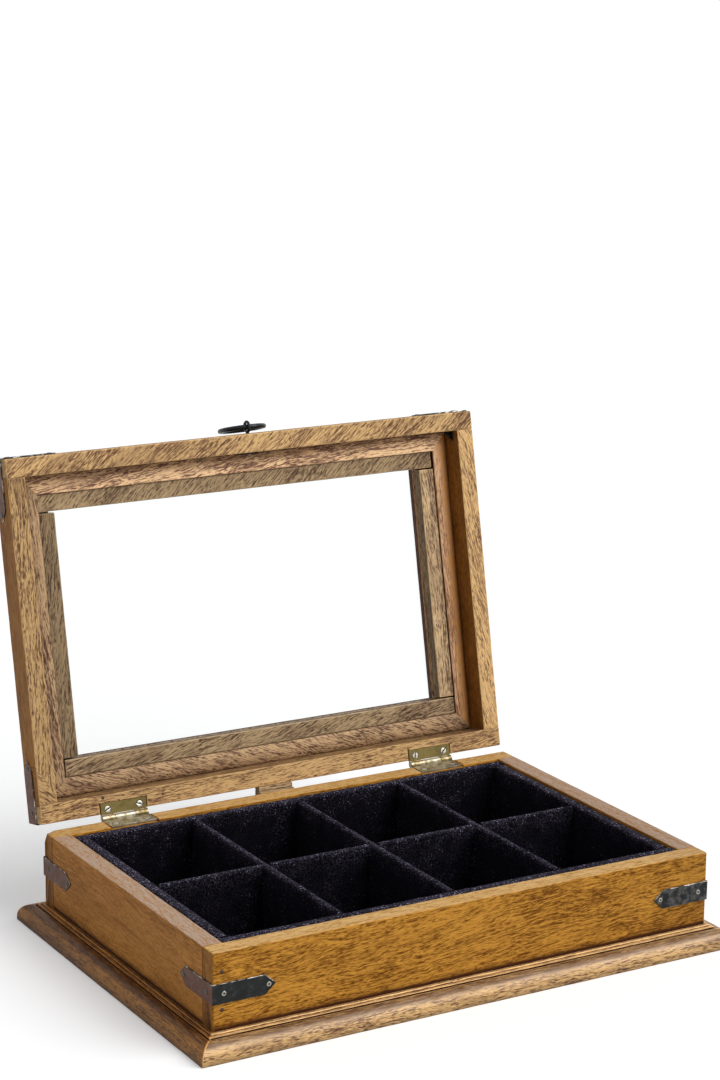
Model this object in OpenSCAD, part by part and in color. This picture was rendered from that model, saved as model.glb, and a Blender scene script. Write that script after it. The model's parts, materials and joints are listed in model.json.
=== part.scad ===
// Tea bag box of solid wood with a glazed lid, eight velvet compartments, brass
// butt hinges, iron corner straps and an iron ring pull. Millimetres, +Z up.
// The origin is the centre of the footprint on the floor, +X runs along the hinges
// and +Y points to the hinged back. The lid stands open against its stop.

/* [Body] */
// Width of the body over its side walls
body_w = 301; // [240:1:360]
// Depth of the body over its front and back walls
body_d = 202.5; // [160:0.5:260]
// Height of the rim above the floor
body_h = 53; // [44:1:90]
// Thickness of the four walls
wall_t = 11.4; // [8:0.1:14]
// Radius worn on the outer long edges of walls and rails
edge_r = 0.8; // [0.4:0.1:2]
// Thickness of the base panel, which lies flush in the walls' lower edges
base_t = 5; // [3:0.1:7]
// Depth of the rebate that holds the base panel's edge
base_rebate = 5; // [3:0.1:6]
// Clearance around the base panel in its rebate
base_gap = 0.3; // [0.2:0.1:0.6]

/* [Plinth] */
// Height of the plinth moulding
plinth_h = 11.8; // [9:0.1:14]
// How far the plinth stands out from the walls
plinth_out = 12.2; // [9:0.1:14]
// Width of each of the two small fillets next to the wall
fillet_w = 1.95; // [1:0.05:2.4]
// Step down from one fillet to the next
fillet_step = 0.9; // [0.5:0.05:1.2]
// Width of the groove between the fillets and the roll
groove_w = 0.5; // [0.3:0.05:0.8]
// Height of the square edge under the roll
plinth_edge = 2.3; // [1:0.1:3]

/* [Compartments] */
// Number of compartments along the depth
rows = 2; // [2:1:3]
// Thickness of the velvet-covered outer walls of the insert
tray_t = 8; // [4:0.1:10]
// Thickness of the velvet-covered floor of the insert
tray_floor_t = 3.2; // [2:0.1:5]
// Thickness of the velvet-covered dividers
divider_t = 5.5; // [4:0.1:8]
// How far the insert's walls stop below the rim
tray_drop = 0.5; // [0.3:0.1:3]
// How far the dividers stop below the insert's walls
divider_drop = 0.3; // [0:0.1:3]
// Radius on the top edges of the insert's outer walls
tray_edge_r = 2.2; // [1:0.1:2.4]
// Clearance between the insert and the wooden walls
tray_gap = 0.4; // [0.2:0.1:0.8]

/* [Lid] */
// Angle of the lid from closed to its stop
open_angle = 101.5; // [95:0.5:108]
// Gap between the closed lid and the body's rim
lid_gap = 0.8; // [0.5:0.1:1.5]
// Height of the lid's rails
lid_h = 18; // [15:0.5:26]
// Thickness of the lid's rails
rail_t = 10.9; // [9:0.1:13]
// Distance of the patch joint from the back rail's face, on the outer side
patch_outer = 21.5; // [15:0.5:30]
// Distance of the patch joint from the back rail's face, on the inner side
patch_inner = 3; // [2:0.5:10]

/* [Glazing] */
// Width of the lid's moulding from the rails to the glass opening
moulding_w = 20.9; // [19:0.1:23]
// Height of the moulding's crest above the top of the rails
crest_h = 8.8; // [7:0.1:9]
// Depth of the moulding below the top of the rails at the bead
moulding_drop = 6; // [5:0.1:6.5]
// Depth of the moulding below the top of the rails at the rail
moulding_drop_rail = 2.8; // [2:0.1:4]
// Radius of the moulding's rounded back
back_r = 12; // [10:0.1:16]
// Radius of the moulding's rounded top
roll_r = 15; // [14:0.1:16]
// Width of each small fillet next to the glass
lip_fillet_w = 2.6; // [2:0.1:2.7]
// Step from the crest down to the fillet next to the glass
lip_step = 0.5; // [0.3:0.1:0.9]
// Depth of the groove beside the roll below the crest
lip_groove = 1.4; // [1:0.1:1.8]
// Width of the glazing beads
bead_w = 9.7; // [7:0.1:9.9]
// Height of the glazing beads
bead_h = 6.5; // [5:0.1:7]
// How deep the beads lie below the edge of their rebate
bead_sink = 1; // [0.4:0.1:1.5]
// Bevel on the beads' edge next to the glass opening
bead_bevel = 0.6; // [0.2:0.1:1]
// Gap at each end of the two short beads
bead_gap = 0.8; // [0.3:0.1:0.9]
// Gap left at one end of each long bead
bead_play = 1.1; // [0.3:0.1:1.6]
// Thickness of the glass pane
glass_t = 2.4; // [2:0.1:2.8]
// Clearance around the glass pane in its rebate
glass_gap = 0.5; // [0.2:0.1:0.9]

/* [Hinges] */
// Length of each butt hinge
hinge_l = 28; // [20:1:40]
// Distance of each hinge's middle from the side face
hinge_inset = 50.2; // [40:0.1:70]
// Distance of the hinge pin behind the back face
pin_out = 2.4; // [2.3:0.05:4]
// Radius of the hinge pin
pin_r = 0.9; // [0.7:0.05:1]
// Radial running clearance on the hinge pin
pin_play = 0.05; // [0.03:0.01:0.08]
// Outer radius of the knuckles
knuckle_r = 1.9; // [1.6:0.05:2]
// Share of the hinge's length taken by the middle knuckle
knuckle_share = 0.44; // [0.3:0.01:0.5]
// Gap between neighbouring knuckles
knuckle_gap = 0.25; // [0.15:0.05:0.4]
// Thickness of the leaves
leaf_t = 1.2; // [1:0.05:1.4]
// Clearance between a leaf's edge and the other leaf's knuckles
leaf_clear = 0.2; // [0.15:0.05:0.3]
// Width of the leaf that is let into the body's rim
box_leaf_w = 10.2; // [8:0.1:10.5]
// Width of the leaf that is let into the lid
lid_leaf_w = 6.2; // [5.6:0.1:8]
// Clearance between a leaf's ends and its mortise
leaf_gap = 0.7; // [0.3:0.1:1]
// Distance between the two screws of a leaf
screw_pitch = 19.6; // [14:0.1:24]
// Distance of the box leaf's screws from the back face
box_screw_in = 6.6; // [4:0.1:7]
// Distance of the lid leaf's screws from the back face
lid_screw_in = 2.6; // [2.5:0.1:3.4]
// Radius of the countersunk screw heads
screw_head_r = 2.15; // [1.6:0.05:2.3]
// Radius of the screws' shanks
screw_r = 1; // [0.8:0.05:1.1]
// Length of the screws under the leaf
screw_l = 7; // [5:0.5:9]
// Width of the screwdriver slot
slot_w = 0.6; // [0.4:0.05:0.8]

/* [Corner straps] */
// Length of a strap's arm from the corner to its tip
strap_l = 35.2; // [24:0.1:42]
// Width of the straps
strap_w = 10.8; // [8:0.1:11.5]
// Length of the pointed end
strap_point = 6.3; // [3:0.1:9]
// Thickness of the straps
strap_t = 0.6; // [0.5:0.1:1.2]
// Distance of the body straps' middle below the rim
strap_down = 21.6; // [16:0.1:24]
// How much higher each body strap was nailed: front left, front right, back right, back left
strap_lift = [0, 0, 0, 2]; // [-2:0.5:2]
// Distance of the lid straps' middle above the lid's lower edge
strap_up = 11; // [8:0.1:11.3]
// Distance from the corner to the first nail
nail_near = 5.9; // [4:0.1:9]
// Distance from an arm's tip to the second nail
nail_tip = 4.2; // [3.2:0.1:8]
// Radius of the nail heads
nail_head_r = 1.5; // [1:0.05:2]
// Height of the domed nail heads
nail_head_h = 0.35; // [0.25:0.05:1]
// Radius of the nails' shanks
nail_r = 0.6; // [0.4:0.05:0.8]
// Length of the nails in the wood
nail_l = 5; // [3:0.5:7]

/* [Lid stop] */
// Width of the two stop blocks
stop_w = 22; // [12:1:40]
// Distance of the stop blocks' middle to the left of the centre
stop_left = 4; // [0:0.5:20]
// How far the body's stop block stands out behind
stop_out = 7.8; // [6:0.1:12]
// Height of the body's stop block
stop_h = 14; // [8:0.5:20]
// Height of the lid's stop block
lid_stop_h = 5; // [4:0.5:8]
// Gap left between the two blocks when the lid rests on them
stop_gap = 0.15; // [0.1:0.05:0.3]

/* [Ring pull] */
// Distance of the ring pull to the right of the centre
pull_x = 4; // [-20:0.5:20]
// Height of the pull's eye above the lid's lower edge
pull_z = 9; // [7:0.5:11]
// Radius of the ring to the middle of its wire
ring_r = 12.8; // [10:0.1:16]
// Radius of the ring's wire
ring_wire_r = 1.4; // [1:0.05:1.5]
// How far the ring hangs off centre in its eye
ring_shift = 3; // [0:0.1:4]
// Radius of the hole in the eye
eye_hole_r = 2; // [1.9:0.05:2.4]
// Radius of the split pin's wire at the eye
eye_wire_r = 0.85; // [0.6:0.05:1]
// Clearance of the resting ring above the lid's face
ring_rest_gap = 0.3; // [0.2:0.05:0.6]
// Gap between the eye and the lid's face
eye_lift = 0.2; // [0.1:0.05:0.5]
// Length of each leg that is bent over on the inside
leg_l = 5; // [3:0.1:7]
// Room around the two legs in the rail
leg_play = 0.55; // [0.3:0.05:0.8]

/* [Hidden] */
$fn = 48;

wood_front = "#9a6a2a";
wood_side = "#8a5a2b";
wood_rim = "#b98a5a";
wood_lid = "#b08a60";
velvet = "#1b1722";
iron = "#3c434c";
brass = "#8d8250";
steel = "#b9b4a6";

// One node stands for each cross divider, so the number of columns stays at four.
columns = 4;

front = 0;
right = 1;
back = 2;
left = 3;

cavity_w = body_w - 2*wall_t;
cavity_d = body_d - 2*wall_t;
tray_w = cavity_w - 2*tray_gap;
tray_d = cavity_d - 2*tray_gap;
floor_top = base_t + tray_floor_t;
tray_top = body_h - tray_drop;
divider_top = tray_top - divider_drop;
inner_w = tray_w - 2*tray_t;
inner_d = tray_d - 2*tray_t;
column_pitch = (inner_w + divider_t)/columns;
row_pitch = (inner_d + divider_t)/rows;
slot_play = 0.1;

lid_z = body_h + lid_gap;
pin_y = body_d/2 + pin_out;
pin_z = body_h + lid_gap/2;
rail_top = lid_z + lid_h;
frame_w = body_w - 2*rail_t;
frame_d = body_d - 2*rail_t;
rebate_in = moulding_w - bead_w;
bead_z = rail_top - moulding_drop + bead_sink;
glass_z = bead_z + bead_h;
lip_z = glass_z + glass_t;
crest_z = rail_top + crest_h;

hinge_x = body_w/2 - hinge_inset;
nail_far = strap_l - nail_tip;
box_strap_z = [for (lift = strap_lift) body_h - strap_down + lift];
lid_strap_z = [for (corner = [0 : 3]) lid_z + strap_up];
mid_knuckle = hinge_l*knuckle_share;
end_knuckle = (hinge_l - mid_knuckle)/2 - knuckle_gap;
nail_play = 0.05;
eye_r = eye_hole_r + eye_wire_r;
eye_out = eye_lift + eye_r + eye_wire_r;
ring_drop = sqrt(ring_r*ring_r - ring_shift*ring_shift);
rest_tilt = asin((eye_out - ring_wire_r - ring_rest_gap)/(ring_drop + ring_r));
eye_y = -body_d/2 - eye_out;
eye_z = lid_z + pull_z;
leg_bore_r = eye_wire_r + leg_play;

// Turns a piece drawn on the closed lid to the open rest position.
module on_open_lid() {
  translate([0, pin_y, pin_z])
    rotate([-open_angle, 0, 0])
      translate([0, -pin_y, -pin_z])
        children();
}

// Puts what is drawn at the front face, with +Y going into the box, on one of the four sides.
module inward(side, w, d) {
  rotate([0, 0, 90*side])
    translate([0, -(side % 2 == 0 ? d : w)/2, 0])
      children();
}

// The same, with +Y going out of the box.
module outward(side, w, d) {
  inward(side, w, d)
    rotate([0, 0, 180])
      children();
}

// A straight bar along X whose section is drawn as depth and height.
module bar(run) {
  translate([-run/2, 0, 0])
    rotate([90, 0, 90])
      linear_extrude(run)
        children();
}

// A bar with mitred ends. It grows longer away from its near edge, or shorter with a negative grow.
module mitred_bar(run, depth, low, high, grow) {
  reach = run/2 + grow*depth;
  intersection() {
    bar(max(run, 2*reach))
      children();
    translate([0, 0, low])
      linear_extrude(high - low)
        polygon([[-run/2, 0], [run/2, 0], [reach, depth], [-reach, depth]]);
  }
}

// A board's section, from its outer face inward, with worn outer edges.
module board_section(t, h, low_edge) {
  difference() {
    square([t, h]);
    edge_cut(h - edge_r, 1);
    if (low_edge)
      edge_cut(edge_r, -1);
  }
}

module edge_cut(z, up) {
  translate([edge_r, z])
    difference() {
      translate([-2*edge_r, up > 0 ? 0 : -2*edge_r])
        square(2*edge_r);
      circle(edge_r);
    }
}

// Body

module wall(side, run) {
  difference() {
    inward(side, body_w, body_d)
      bar(run)
        board_section(wall_t, body_h, false);
    base_pocket();
  }
}

module base_pocket() {
  w = cavity_w + 2*base_rebate;
  d = cavity_d + 2*base_rebate;
  translate([-w/2, -d/2, -1])
    cube([w, d, base_t + 1]);
}

module front_wall() {
  color(wood_front)
    difference() {
      wall(front, body_w);
      strap_pilots();
    }
}

module back_wall() {
  color(wood_front)
    difference() {
      wall(back, body_w);
      strap_pilots();
      for (s = [-1, 1])
        translate([s*hinge_x, body_d/2, body_h])
          box_mortise();
    }
}

module side_wall(side) {
  color(wood_side)
    difference() {
      wall(side, cavity_d);
      strap_pilots();
    }
}

module box_mortise() {
  w = hinge_l + 2*leaf_gap;
  translate([-w/2, -wall_t - 1, -leaf_t])
    cube([w, wall_t + 2, leaf_t + 1]);
  for (s = [-1, 1])
    translate([s*screw_pitch/2, -box_screw_in, -leaf_t - screw_l - 0.2])
      cylinder(r = screw_r + nail_play, h = screw_l + 1);
}

module base_panel() {
  w = cavity_w + 2*base_rebate - 2*base_gap;
  d = cavity_d + 2*base_rebate - 2*base_gap;
  color(wood_rim)
    translate([-w/2, -d/2, 0])
      cube([w, d, base_t]);
}

// The plinth's section: two small fillets, a groove, a roll and a square edge.
module plinth_section() {
  roll_x = 2*fillet_w + groove_w;
  roll = min(plinth_out - roll_x + groove_w, plinth_h - 2*fillet_step - plinth_edge);
  square([max(roll_x, plinth_out - roll) + 0.01, plinth_edge + roll - groove_w]);
  square([2*fillet_w, plinth_h - fillet_step]);
  square([fillet_w, plinth_h]);
  square([plinth_out, plinth_edge]);
  translate([plinth_out - roll, plinth_edge])
    intersection() {
      circle(roll);
      translate([roll_x - plinth_out + roll, 0])
        square(roll);
    }
}

module plinth(side) {
  run = side % 2 == 0 ? body_w : body_d;
  color(wood_front)
    outward(side, body_w, body_d)
      mitred_bar(run, plinth_out, 0, plinth_h, 1)
        plinth_section();
}

// Compartments

module tray_section() {
  h = tray_top - floor_top;
  difference() {
    square([tray_t, h]);
    for (s = [0, 1])
      translate([s*tray_t, 0])
        mirror([s, 0])
          translate([tray_edge_r, h - tray_edge_r])
            difference() {
              translate([-2*tray_edge_r, 0])
                square(2*tray_edge_r);
              circle(tray_edge_r);
            }
  }
}

module tray_wall(side) {
  color(velvet)
    inward(side, tray_w, tray_d)
      translate([0, 0, floor_top])
        bar(side % 2 == 0 ? tray_w : inner_d)
          tray_section();
}

module tray_floor() {
  color(velvet)
    translate([-tray_w/2, -tray_d/2, base_t])
      cube([tray_w, tray_d, tray_floor_t]);
}

// A divider along X with a half-round top edge.
module divider(run) {
  h = divider_top - floor_top;
  translate([0, 0, floor_top])
    bar(run)
      union() {
        translate([-divider_t/2, 0])
          square([divider_t, h - divider_t/2]);
        translate([0, h - divider_t/2])
          circle(divider_t/2);
      }
}

module halving_slot(z) {
  w = divider_t + 2*slot_play;
  h = (divider_top - floor_top)/2;
  translate([-w/2, -divider_t, z])
    cube([w, 2*divider_t, h + 1]);
}

module long_divider() {
  mid = (floor_top + divider_top)/2;
  color(velvet)
    for (r = [1 : 1 : rows - 1])
      translate([0, -inner_d/2 - divider_t/2 + r*row_pitch, 0])
        difference() {
          divider(inner_w);
          for (c = [1 : 1 : columns - 1])
            translate([-inner_w/2 - divider_t/2 + c*column_pitch, 0, 0])
              halving_slot(mid);
        }
}

module cross_divider(c) {
  mid = (floor_top + divider_top)/2;
  h = mid - floor_top;
  if (c < columns)
    color(velvet)
      translate([-inner_w/2 - divider_t/2 + c*column_pitch, 0, 0])
        rotate([0, 0, 90])
          difference() {
            divider(inner_d);
            for (r = [1 : 1 : rows - 1])
              translate([-inner_d/2 - divider_t/2 + r*row_pitch, 0, 0])
                halving_slot(mid - h - 1);
          }
}

// Lid frame

module rail(side, run) {
  inward(side, body_w, body_d)
    translate([0, 0, lid_z])
      bar(run)
        board_section(rail_t, lid_h, true);
}

module lid_front_rail() {
  color(wood_lid)
    on_open_lid()
      difference() {
        rail(front, body_w);
        lid_strap_pilots();
        pull_bore();
      }
}

module lid_back_rail() {
  color(wood_lid)
    on_open_lid()
      difference() {
        rail(back, body_w);
        lid_strap_pilots();
        for (s = [-1, 1])
          translate([s*hinge_x, body_d/2, lid_z])
            lid_mortise();
      }
}

module lid_mortise() {
  w = hinge_l + 2*leaf_gap;
  translate([-w/2, -lid_leaf_w - 0.3, -1])
    cube([w, lid_leaf_w + 2, leaf_t + 1]);
  for (s = [-1, 1])
    translate([s*screw_pitch/2, -lid_screw_in, leaf_t - 1])
      cylinder(r = screw_r + nail_play, h = screw_l + 1.2);
}

// The plan of the patch let into the left rail next to the back rail.
module patch_area(grow) {
  y = frame_d/2;
  x = -body_w/2;
  translate([0, 0, lid_z - 1])
    linear_extrude(lid_h + 2)
      polygon([
        [x - 1, y + 1],
        [x - 1, y - patch_outer - grow],
        [x + rail_t + 1, y - patch_inner - grow],
        [x + rail_t + 1, y + 1]
      ]);
}

module lid_left_rail() {
  color(wood_lid)
    on_open_lid()
      difference() {
        rail(left, frame_d);
        patch_area(0);
        lid_strap_pilots();
      }
}

module lid_left_patch() {
  joint = 0.15;
  color(wood_lid)
    on_open_lid()
      difference() {
        intersection() {
          rail(left, frame_d);
          patch_area(-joint);
        }
        lid_strap_pilots();
      }
}

module lid_right_rail() {
  color(wood_lid)
    on_open_lid()
      difference() {
        rail(right, frame_d);
        lid_strap_pilots();
      }
}

// Glazing

// The lid moulding's section, from the rail's inner face towards the glass. Its back is
// rounded, its top is a roll with two fillets, and a rebate holds the glass and bead.
module moulding_section() {
  low_rail = rail_top - moulding_drop_rail;
  low_bead = rail_top - moulding_drop;
  rise = low_rail - low_bead;
  chord = sqrt(rebate_in*rebate_in + rise*rise);
  reach = sqrt(back_r*back_r - chord*chord/4);
  back_x = rebate_in/2 + reach*rise/chord;
  back_z = (low_rail + low_bead)/2 + reach*rebate_in/chord;
  roll_x = moulding_w - 2*lip_fillet_w - groove_w;
  roll_z = crest_z - roll_r;
  difference() {
    union() {
      intersection() {
        translate([back_x, back_z])
          circle(back_r, $fn = 96);
        translate([0, low_bead - 2])
          square([rebate_in, back_z - low_bead + 2]);
        translate([0, low_bead - 2])
          square([rebate_in, rail_top - low_bead + 2]);
      }
      translate([0, low_rail])
        square([rebate_in, rail_top - low_rail]);
      intersection() {
        translate([roll_x, roll_z])
          circle(roll_r, $fn = 96);
        translate([0, rail_top - 0.01])
          square([roll_x, crest_h + 1]);
      }
      translate([rebate_in - 1, lip_z])
        square([moulding_w - rebate_in + 1, crest_z - lip_groove - lip_z]);
      translate([roll_x + groove_w, lip_z])
        square([lip_fillet_w, crest_z - lip_step - lip_z]);
    }
    translate([rebate_in, low_bead - 3])
      square([moulding_w, lip_z - low_bead + 3]);
  }
}

module lid_moulding(side) {
  run = side % 2 == 0 ? frame_w : frame_d;
  low = rail_top - moulding_drop - 2;
  color(wood_lid)
    on_open_lid()
      inward(side, frame_w, frame_d)
        mitred_bar(run, moulding_w, low, crest_z + 1, -1)
          moulding_section();
}

module glass_pane() {
  w = frame_w - 2*rebate_in - 2*glass_gap;
  d = frame_d - 2*rebate_in - 2*glass_gap;
  color([0.75, 0.85, 0.85, 0.35])
    on_open_lid()
      translate([-w/2, -d/2, glass_z])
        cube([w, d, glass_t]);
}

// A glazing bead with a small bevel towards the glass opening. A long one is pushed to one end.
module bead(side) {
  long = side % 2 == 0;
  w = frame_w - 2*rebate_in;
  d = frame_d - 2*rebate_in;
  run = long ? w - bead_play : d - 2*bead_w - 2*bead_gap;
  color(wood_lid)
    on_open_lid()
      inward(side, w, d)
        translate([long ? -bead_play/2 : 0, 0, bead_z])
          bar(run)
            polygon([
              [0, 0],
              [bead_w - bead_bevel, 0],
              [bead_w, bead_bevel],
              [bead_w, bead_h],
              [0, bead_h]
            ]);
}

// Corner straps

// One arm of a strap, lying on the face y = 0 and running along +X from the corner.
module strap_arm() {
  translate([0, strap_t, 0])
    rotate([90, 0, 0])
      linear_extrude(strap_t)
        difference() {
          polygon([
            [0, -strap_w/2],
            [strap_l - strap_point, -strap_w/2],
            [strap_l, 0],
            [strap_l - strap_point, strap_w/2],
            [0, strap_w/2]
          ]);
          for (x = [nail_near, nail_far])
            translate([x, 0])
              circle(nail_r + nail_play);
        }
}

// Places children at one corner, counted from front left towards front right, with one copy
// for each of the two arms that leave it. The arms run along +X with the wood below y = 0.
module at_corner_arms(corner, z) {
  sx = corner == 0 || corner == 3 ? -1 : 1;
  sy = corner < 2 ? -1 : 1;
  translate([sx*body_w/2, sy*body_d/2, z]) {
    mirror([sx > 0 ? 1 : 0, 0, 0])
      mirror([0, sy < 0 ? 1 : 0, 0])
        children();
    mirror([sx > 0 ? 1 : 0, 0, 0])
      mirror([0, sy < 0 ? 1 : 0, 0])
        mirror([1, 1, 0])
          children();
  }
}

module strap(corner, z) {
  sx = corner == 0 || corner == 3 ? -1 : 1;
  sy = corner < 2 ? -1 : 1;
  at_corner_arms(corner, z)
    strap_arm();
  intersection() {
    translate([sx*body_w/2, sy*body_d/2, z - strap_w/2])
      cylinder(r = strap_t, h = strap_w);
    translate([sx*(body_w/2 + strap_t), sy*(body_d/2 + strap_t), z])
      cube([2*strap_t, 2*strap_t, 2*strap_w], center = true);
  }
}

module box_strap(corner) {
  color(iron)
    strap(corner, box_strap_z[corner]);
}

module lid_strap(corner) {
  color(iron)
    on_open_lid()
      strap(corner, lid_strap_z[corner]);
}

module nail_holes(heights) {
  for (corner = [0 : 3])
    at_corner_arms(corner, heights[corner])
      for (x = [nail_near, nail_far])
        translate([x, 1, 0])
          rotate([90, 0, 0])
            cylinder(r = nail_r + nail_play, h = nail_l + 1.2);
}

module strap_pilots() {
  nail_holes(box_strap_z);
}

module lid_strap_pilots() {
  nail_holes(lid_strap_z);
}

// A nail driven along -Y, with its head on the face y = 0.
module nail() {
  dome_r = (nail_head_r*nail_head_r + nail_head_h*nail_head_h)/(2*nail_head_h);
  rotate([-90, 0, 0])
    union() {
      translate([0, 0, -nail_l - strap_t])
        cylinder(r = nail_r, h = nail_l + strap_t + nail_head_h/2);
      intersection() {
        translate([0, 0, nail_head_h - dome_r])
          sphere(dome_r);
        cylinder(r = nail_head_r, h = nail_head_h);
      }
    }
}

module nails(heights) {
  for (corner = [0 : 3])
    at_corner_arms(corner, heights[corner])
      for (x = [nail_near, nail_far])
        translate([x, strap_t, 0])
          nail();
}

module box_strap_nails() {
  color(iron)
    nails(box_strap_z);
}

module lid_strap_nails() {
  color(iron)
    on_open_lid()
      nails(lid_strap_z);
}

// Hinges

// A leaf's plate below z = 0, from the back face at y = 0 inward, with countersunk holes.
module leaf_plate(w, screw_in) {
  difference() {
    translate([-hinge_l/2, -w, -leaf_t])
      cube([hinge_l, w + pin_out - knuckle_r - leaf_clear, leaf_t]);
    for (s = [-1, 1])
      translate([s*screw_pitch/2, -screw_in, -leaf_t])
        countersink(nail_play);
  }
}

module countersink(play) {
  cylinder(r1 = screw_r + play, r2 = screw_head_r + play, h = leaf_t);
  translate([0, 0, -1])
    cylinder(r = screw_r + play, h = 1.01);
}

// A knuckle on the pin's axis, and the strip of leaf that is rolled into it.
module knuckle(x, l) {
  difference() {
    union() {
      translate([x, pin_out, lid_gap/2])
        rotate([0, 90, 0])
          cylinder(r = knuckle_r, h = l);
      translate([x, 0, -leaf_t])
        cube([l, pin_out, leaf_t]);
    }
    translate([x - 1, pin_out, lid_gap/2])
      rotate([0, 90, 0])
        cylinder(r = pin_r + pin_play, h = l + 2);
  }
}

module box_leaf(s) {
  color(brass)
    translate([s*hinge_x, body_d/2, body_h]) {
      leaf_plate(box_leaf_w, box_screw_in);
      knuckle(-mid_knuckle/2, mid_knuckle);
    }
}

module lid_leaf(s) {
  color(brass)
    on_open_lid()
      translate([s*hinge_x, body_d/2, lid_z])
        mirror([0, 0, 1]) {
          leaf_plate(lid_leaf_w, lid_screw_in);
          knuckle(-hinge_l/2, end_knuckle);
          knuckle(hinge_l/2 - end_knuckle, end_knuckle);
        }
}

module hinge_pin(s) {
  end_dome = 0.25;
  color(steel)
    translate([s*hinge_x - hinge_l/2 - end_dome, pin_y, pin_z])
      rotate([0, 90, 0])
        cylinder(r = pin_r, h = hinge_l + 2*end_dome);
}

// A countersunk wood screw with its head below z = 0 and its slot along X.
module wood_screw() {
  slot_depth = 0.45;
  difference() {
    union() {
      translate([0, 0, -leaf_t])
        cylinder(r1 = screw_r, r2 = screw_head_r, h = leaf_t);
      translate([0, 0, -leaf_t - screw_l])
        cylinder(r = screw_r, h = screw_l + 0.01);
    }
    translate([-screw_head_r - 1, -slot_w/2, -slot_depth])
      cube([2*screw_head_r + 2, slot_w, 1]);
  }
}

module box_hinge_screws() {
  color(steel)
    for (s = [-1, 1])
      for (k = [-1, 1])
        translate([s*hinge_x + k*screw_pitch/2, body_d/2 - box_screw_in, body_h])
          rotate([0, 0, 40 + 70*k])
            wood_screw();
}

module lid_hinge_screws() {
  turns = [[-25, 22], [-76, -48]];
  color(steel)
    on_open_lid()
      for (s = [0, 1])
        for (k = [0, 1])
          translate([
            (2*s - 1)*hinge_x + (2*k - 1)*screw_pitch/2,
            body_d/2 - lid_screw_in,
            lid_z
          ])
            mirror([0, 0, 1])
              rotate([0, 0, turns[s][k]])
                wood_screw();
}

// Lid stop

module box_stop() {
  bevel = 3;
  color(wood_side)
    translate([-stop_left, body_d/2, body_h])
      bar(stop_w)
        polygon([
          [0, 0],
          [stop_out, 0],
          [stop_out, -stop_h + bevel],
          [stop_out - bevel, -stop_h],
          [0, -stop_h]
        ]);
}

// The lid's block is cut to lie flat on the body's block when the lid is open.
module lid_stop() {
  sink = stop_gap - lid_gap/2;
  face_at = function(dz) (-sink + dz*cos(open_angle))/sin(open_angle);
  low = lid_gap/2;
  high = lid_gap/2 + lid_stop_h;
  color(wood_side)
    on_open_lid()
      translate([-stop_left, pin_y, pin_z])
        bar(stop_w)
          polygon([
            [-pin_out, low],
            [face_at(low), low],
            [face_at(high), high],
            [-pin_out, high]
          ]);
}

// Ring pull

module pull_bore() {
  translate([pull_x, -body_d/2 - 1, eye_z])
    rotate([-90, 0, 0])
      cylinder(r = leg_bore_r, h = rail_t + 2);
}

// The split pin: an eye on the lid's face, two legs through the rail and bent over inside.
module pull_pin() {
  leg_r = eye_wire_r*0.6;
  leg_off = leg_r + 0.05;
  inside = -body_d/2 + rail_t + leg_r + 0.1;
  color(iron)
    on_open_lid() {
      translate([pull_x, eye_y, eye_z])
        rotate([0, 90, 0])
          rotate_extrude()
            translate([eye_r, 0])
              circle(eye_wire_r);
      for (s = [-1, 1]) {
        translate([pull_x + s*leg_off, eye_y + eye_r - eye_wire_r/2, eye_z])
          rotate([-90, 0, 0])
            cylinder(r = leg_r, h = inside - eye_y - eye_r + eye_wire_r/2);
        translate([pull_x + s*leg_off, inside, eye_z])
          sphere(leg_r);
        translate([pull_x + s*leg_off, inside, eye_z])
          rotate([0, s*90, 0])
            cylinder(r = leg_r, h = leg_l);
      }
    }
}

module pull_ring() {
  color(iron)
    on_open_lid()
      translate([pull_x, eye_y, eye_z])
        rotate([-rest_tilt, 0, 0])
          translate([ring_shift, 0, ring_drop])
            rotate([90, 0, 0])
              rotate_extrude($fn = 96)
                translate([ring_r, 0])
                  circle(ring_wire_r);
}

front_wall();
back_wall();
side_wall(left);  // left_wall
side_wall(right);  // right_wall
base_panel();
plinth(front);  // front_plinth
plinth(back);  // back_plinth
plinth(left);  // left_plinth
plinth(right);  // right_plinth
tray_floor();
tray_wall(front);  // tray_front
tray_wall(back);  // tray_back
tray_wall(left);  // tray_left
tray_wall(right);  // tray_right
long_divider();
cross_divider(1);  // cross_divider_left
cross_divider(2);  // cross_divider_middle
cross_divider(3);  // cross_divider_right
box_strap(0);  // box_strap_front_left
box_strap(1);  // box_strap_front_right
box_strap(2);  // box_strap_back_right
box_strap(3);  // box_strap_back_left
box_strap_nails();
lid_front_rail();
lid_back_rail();
lid_left_rail();
lid_left_patch();
lid_right_rail();
lid_moulding(front);  // lid_front_moulding
lid_moulding(back);  // lid_back_moulding
lid_moulding(left);  // lid_left_moulding
lid_moulding(right);  // lid_right_moulding
glass_pane();
bead(front);  // front_bead
bead(back);  // back_bead
bead(left);  // left_bead
bead(right);  // right_bead
lid_strap(0);  // lid_strap_front_left
lid_strap(1);  // lid_strap_front_right
lid_strap(2);  // lid_strap_back_right
lid_strap(3);  // lid_strap_back_left
lid_strap_nails();
box_leaf(-1);  // left_hinge_box_leaf
lid_leaf(-1);  // left_hinge_lid_leaf
hinge_pin(-1);  // left_hinge_pin
box_leaf(1);  // right_hinge_box_leaf
lid_leaf(1);  // right_hinge_lid_leaf
hinge_pin(1);  // right_hinge_pin
box_hinge_screws();
lid_hinge_screws();
box_stop();
lid_stop();
pull_pin();
pull_ring();
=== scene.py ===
"""Looks of a wooden tea bag box with a glazed lid, velvet compartments, hinges and corner straps."""

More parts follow.
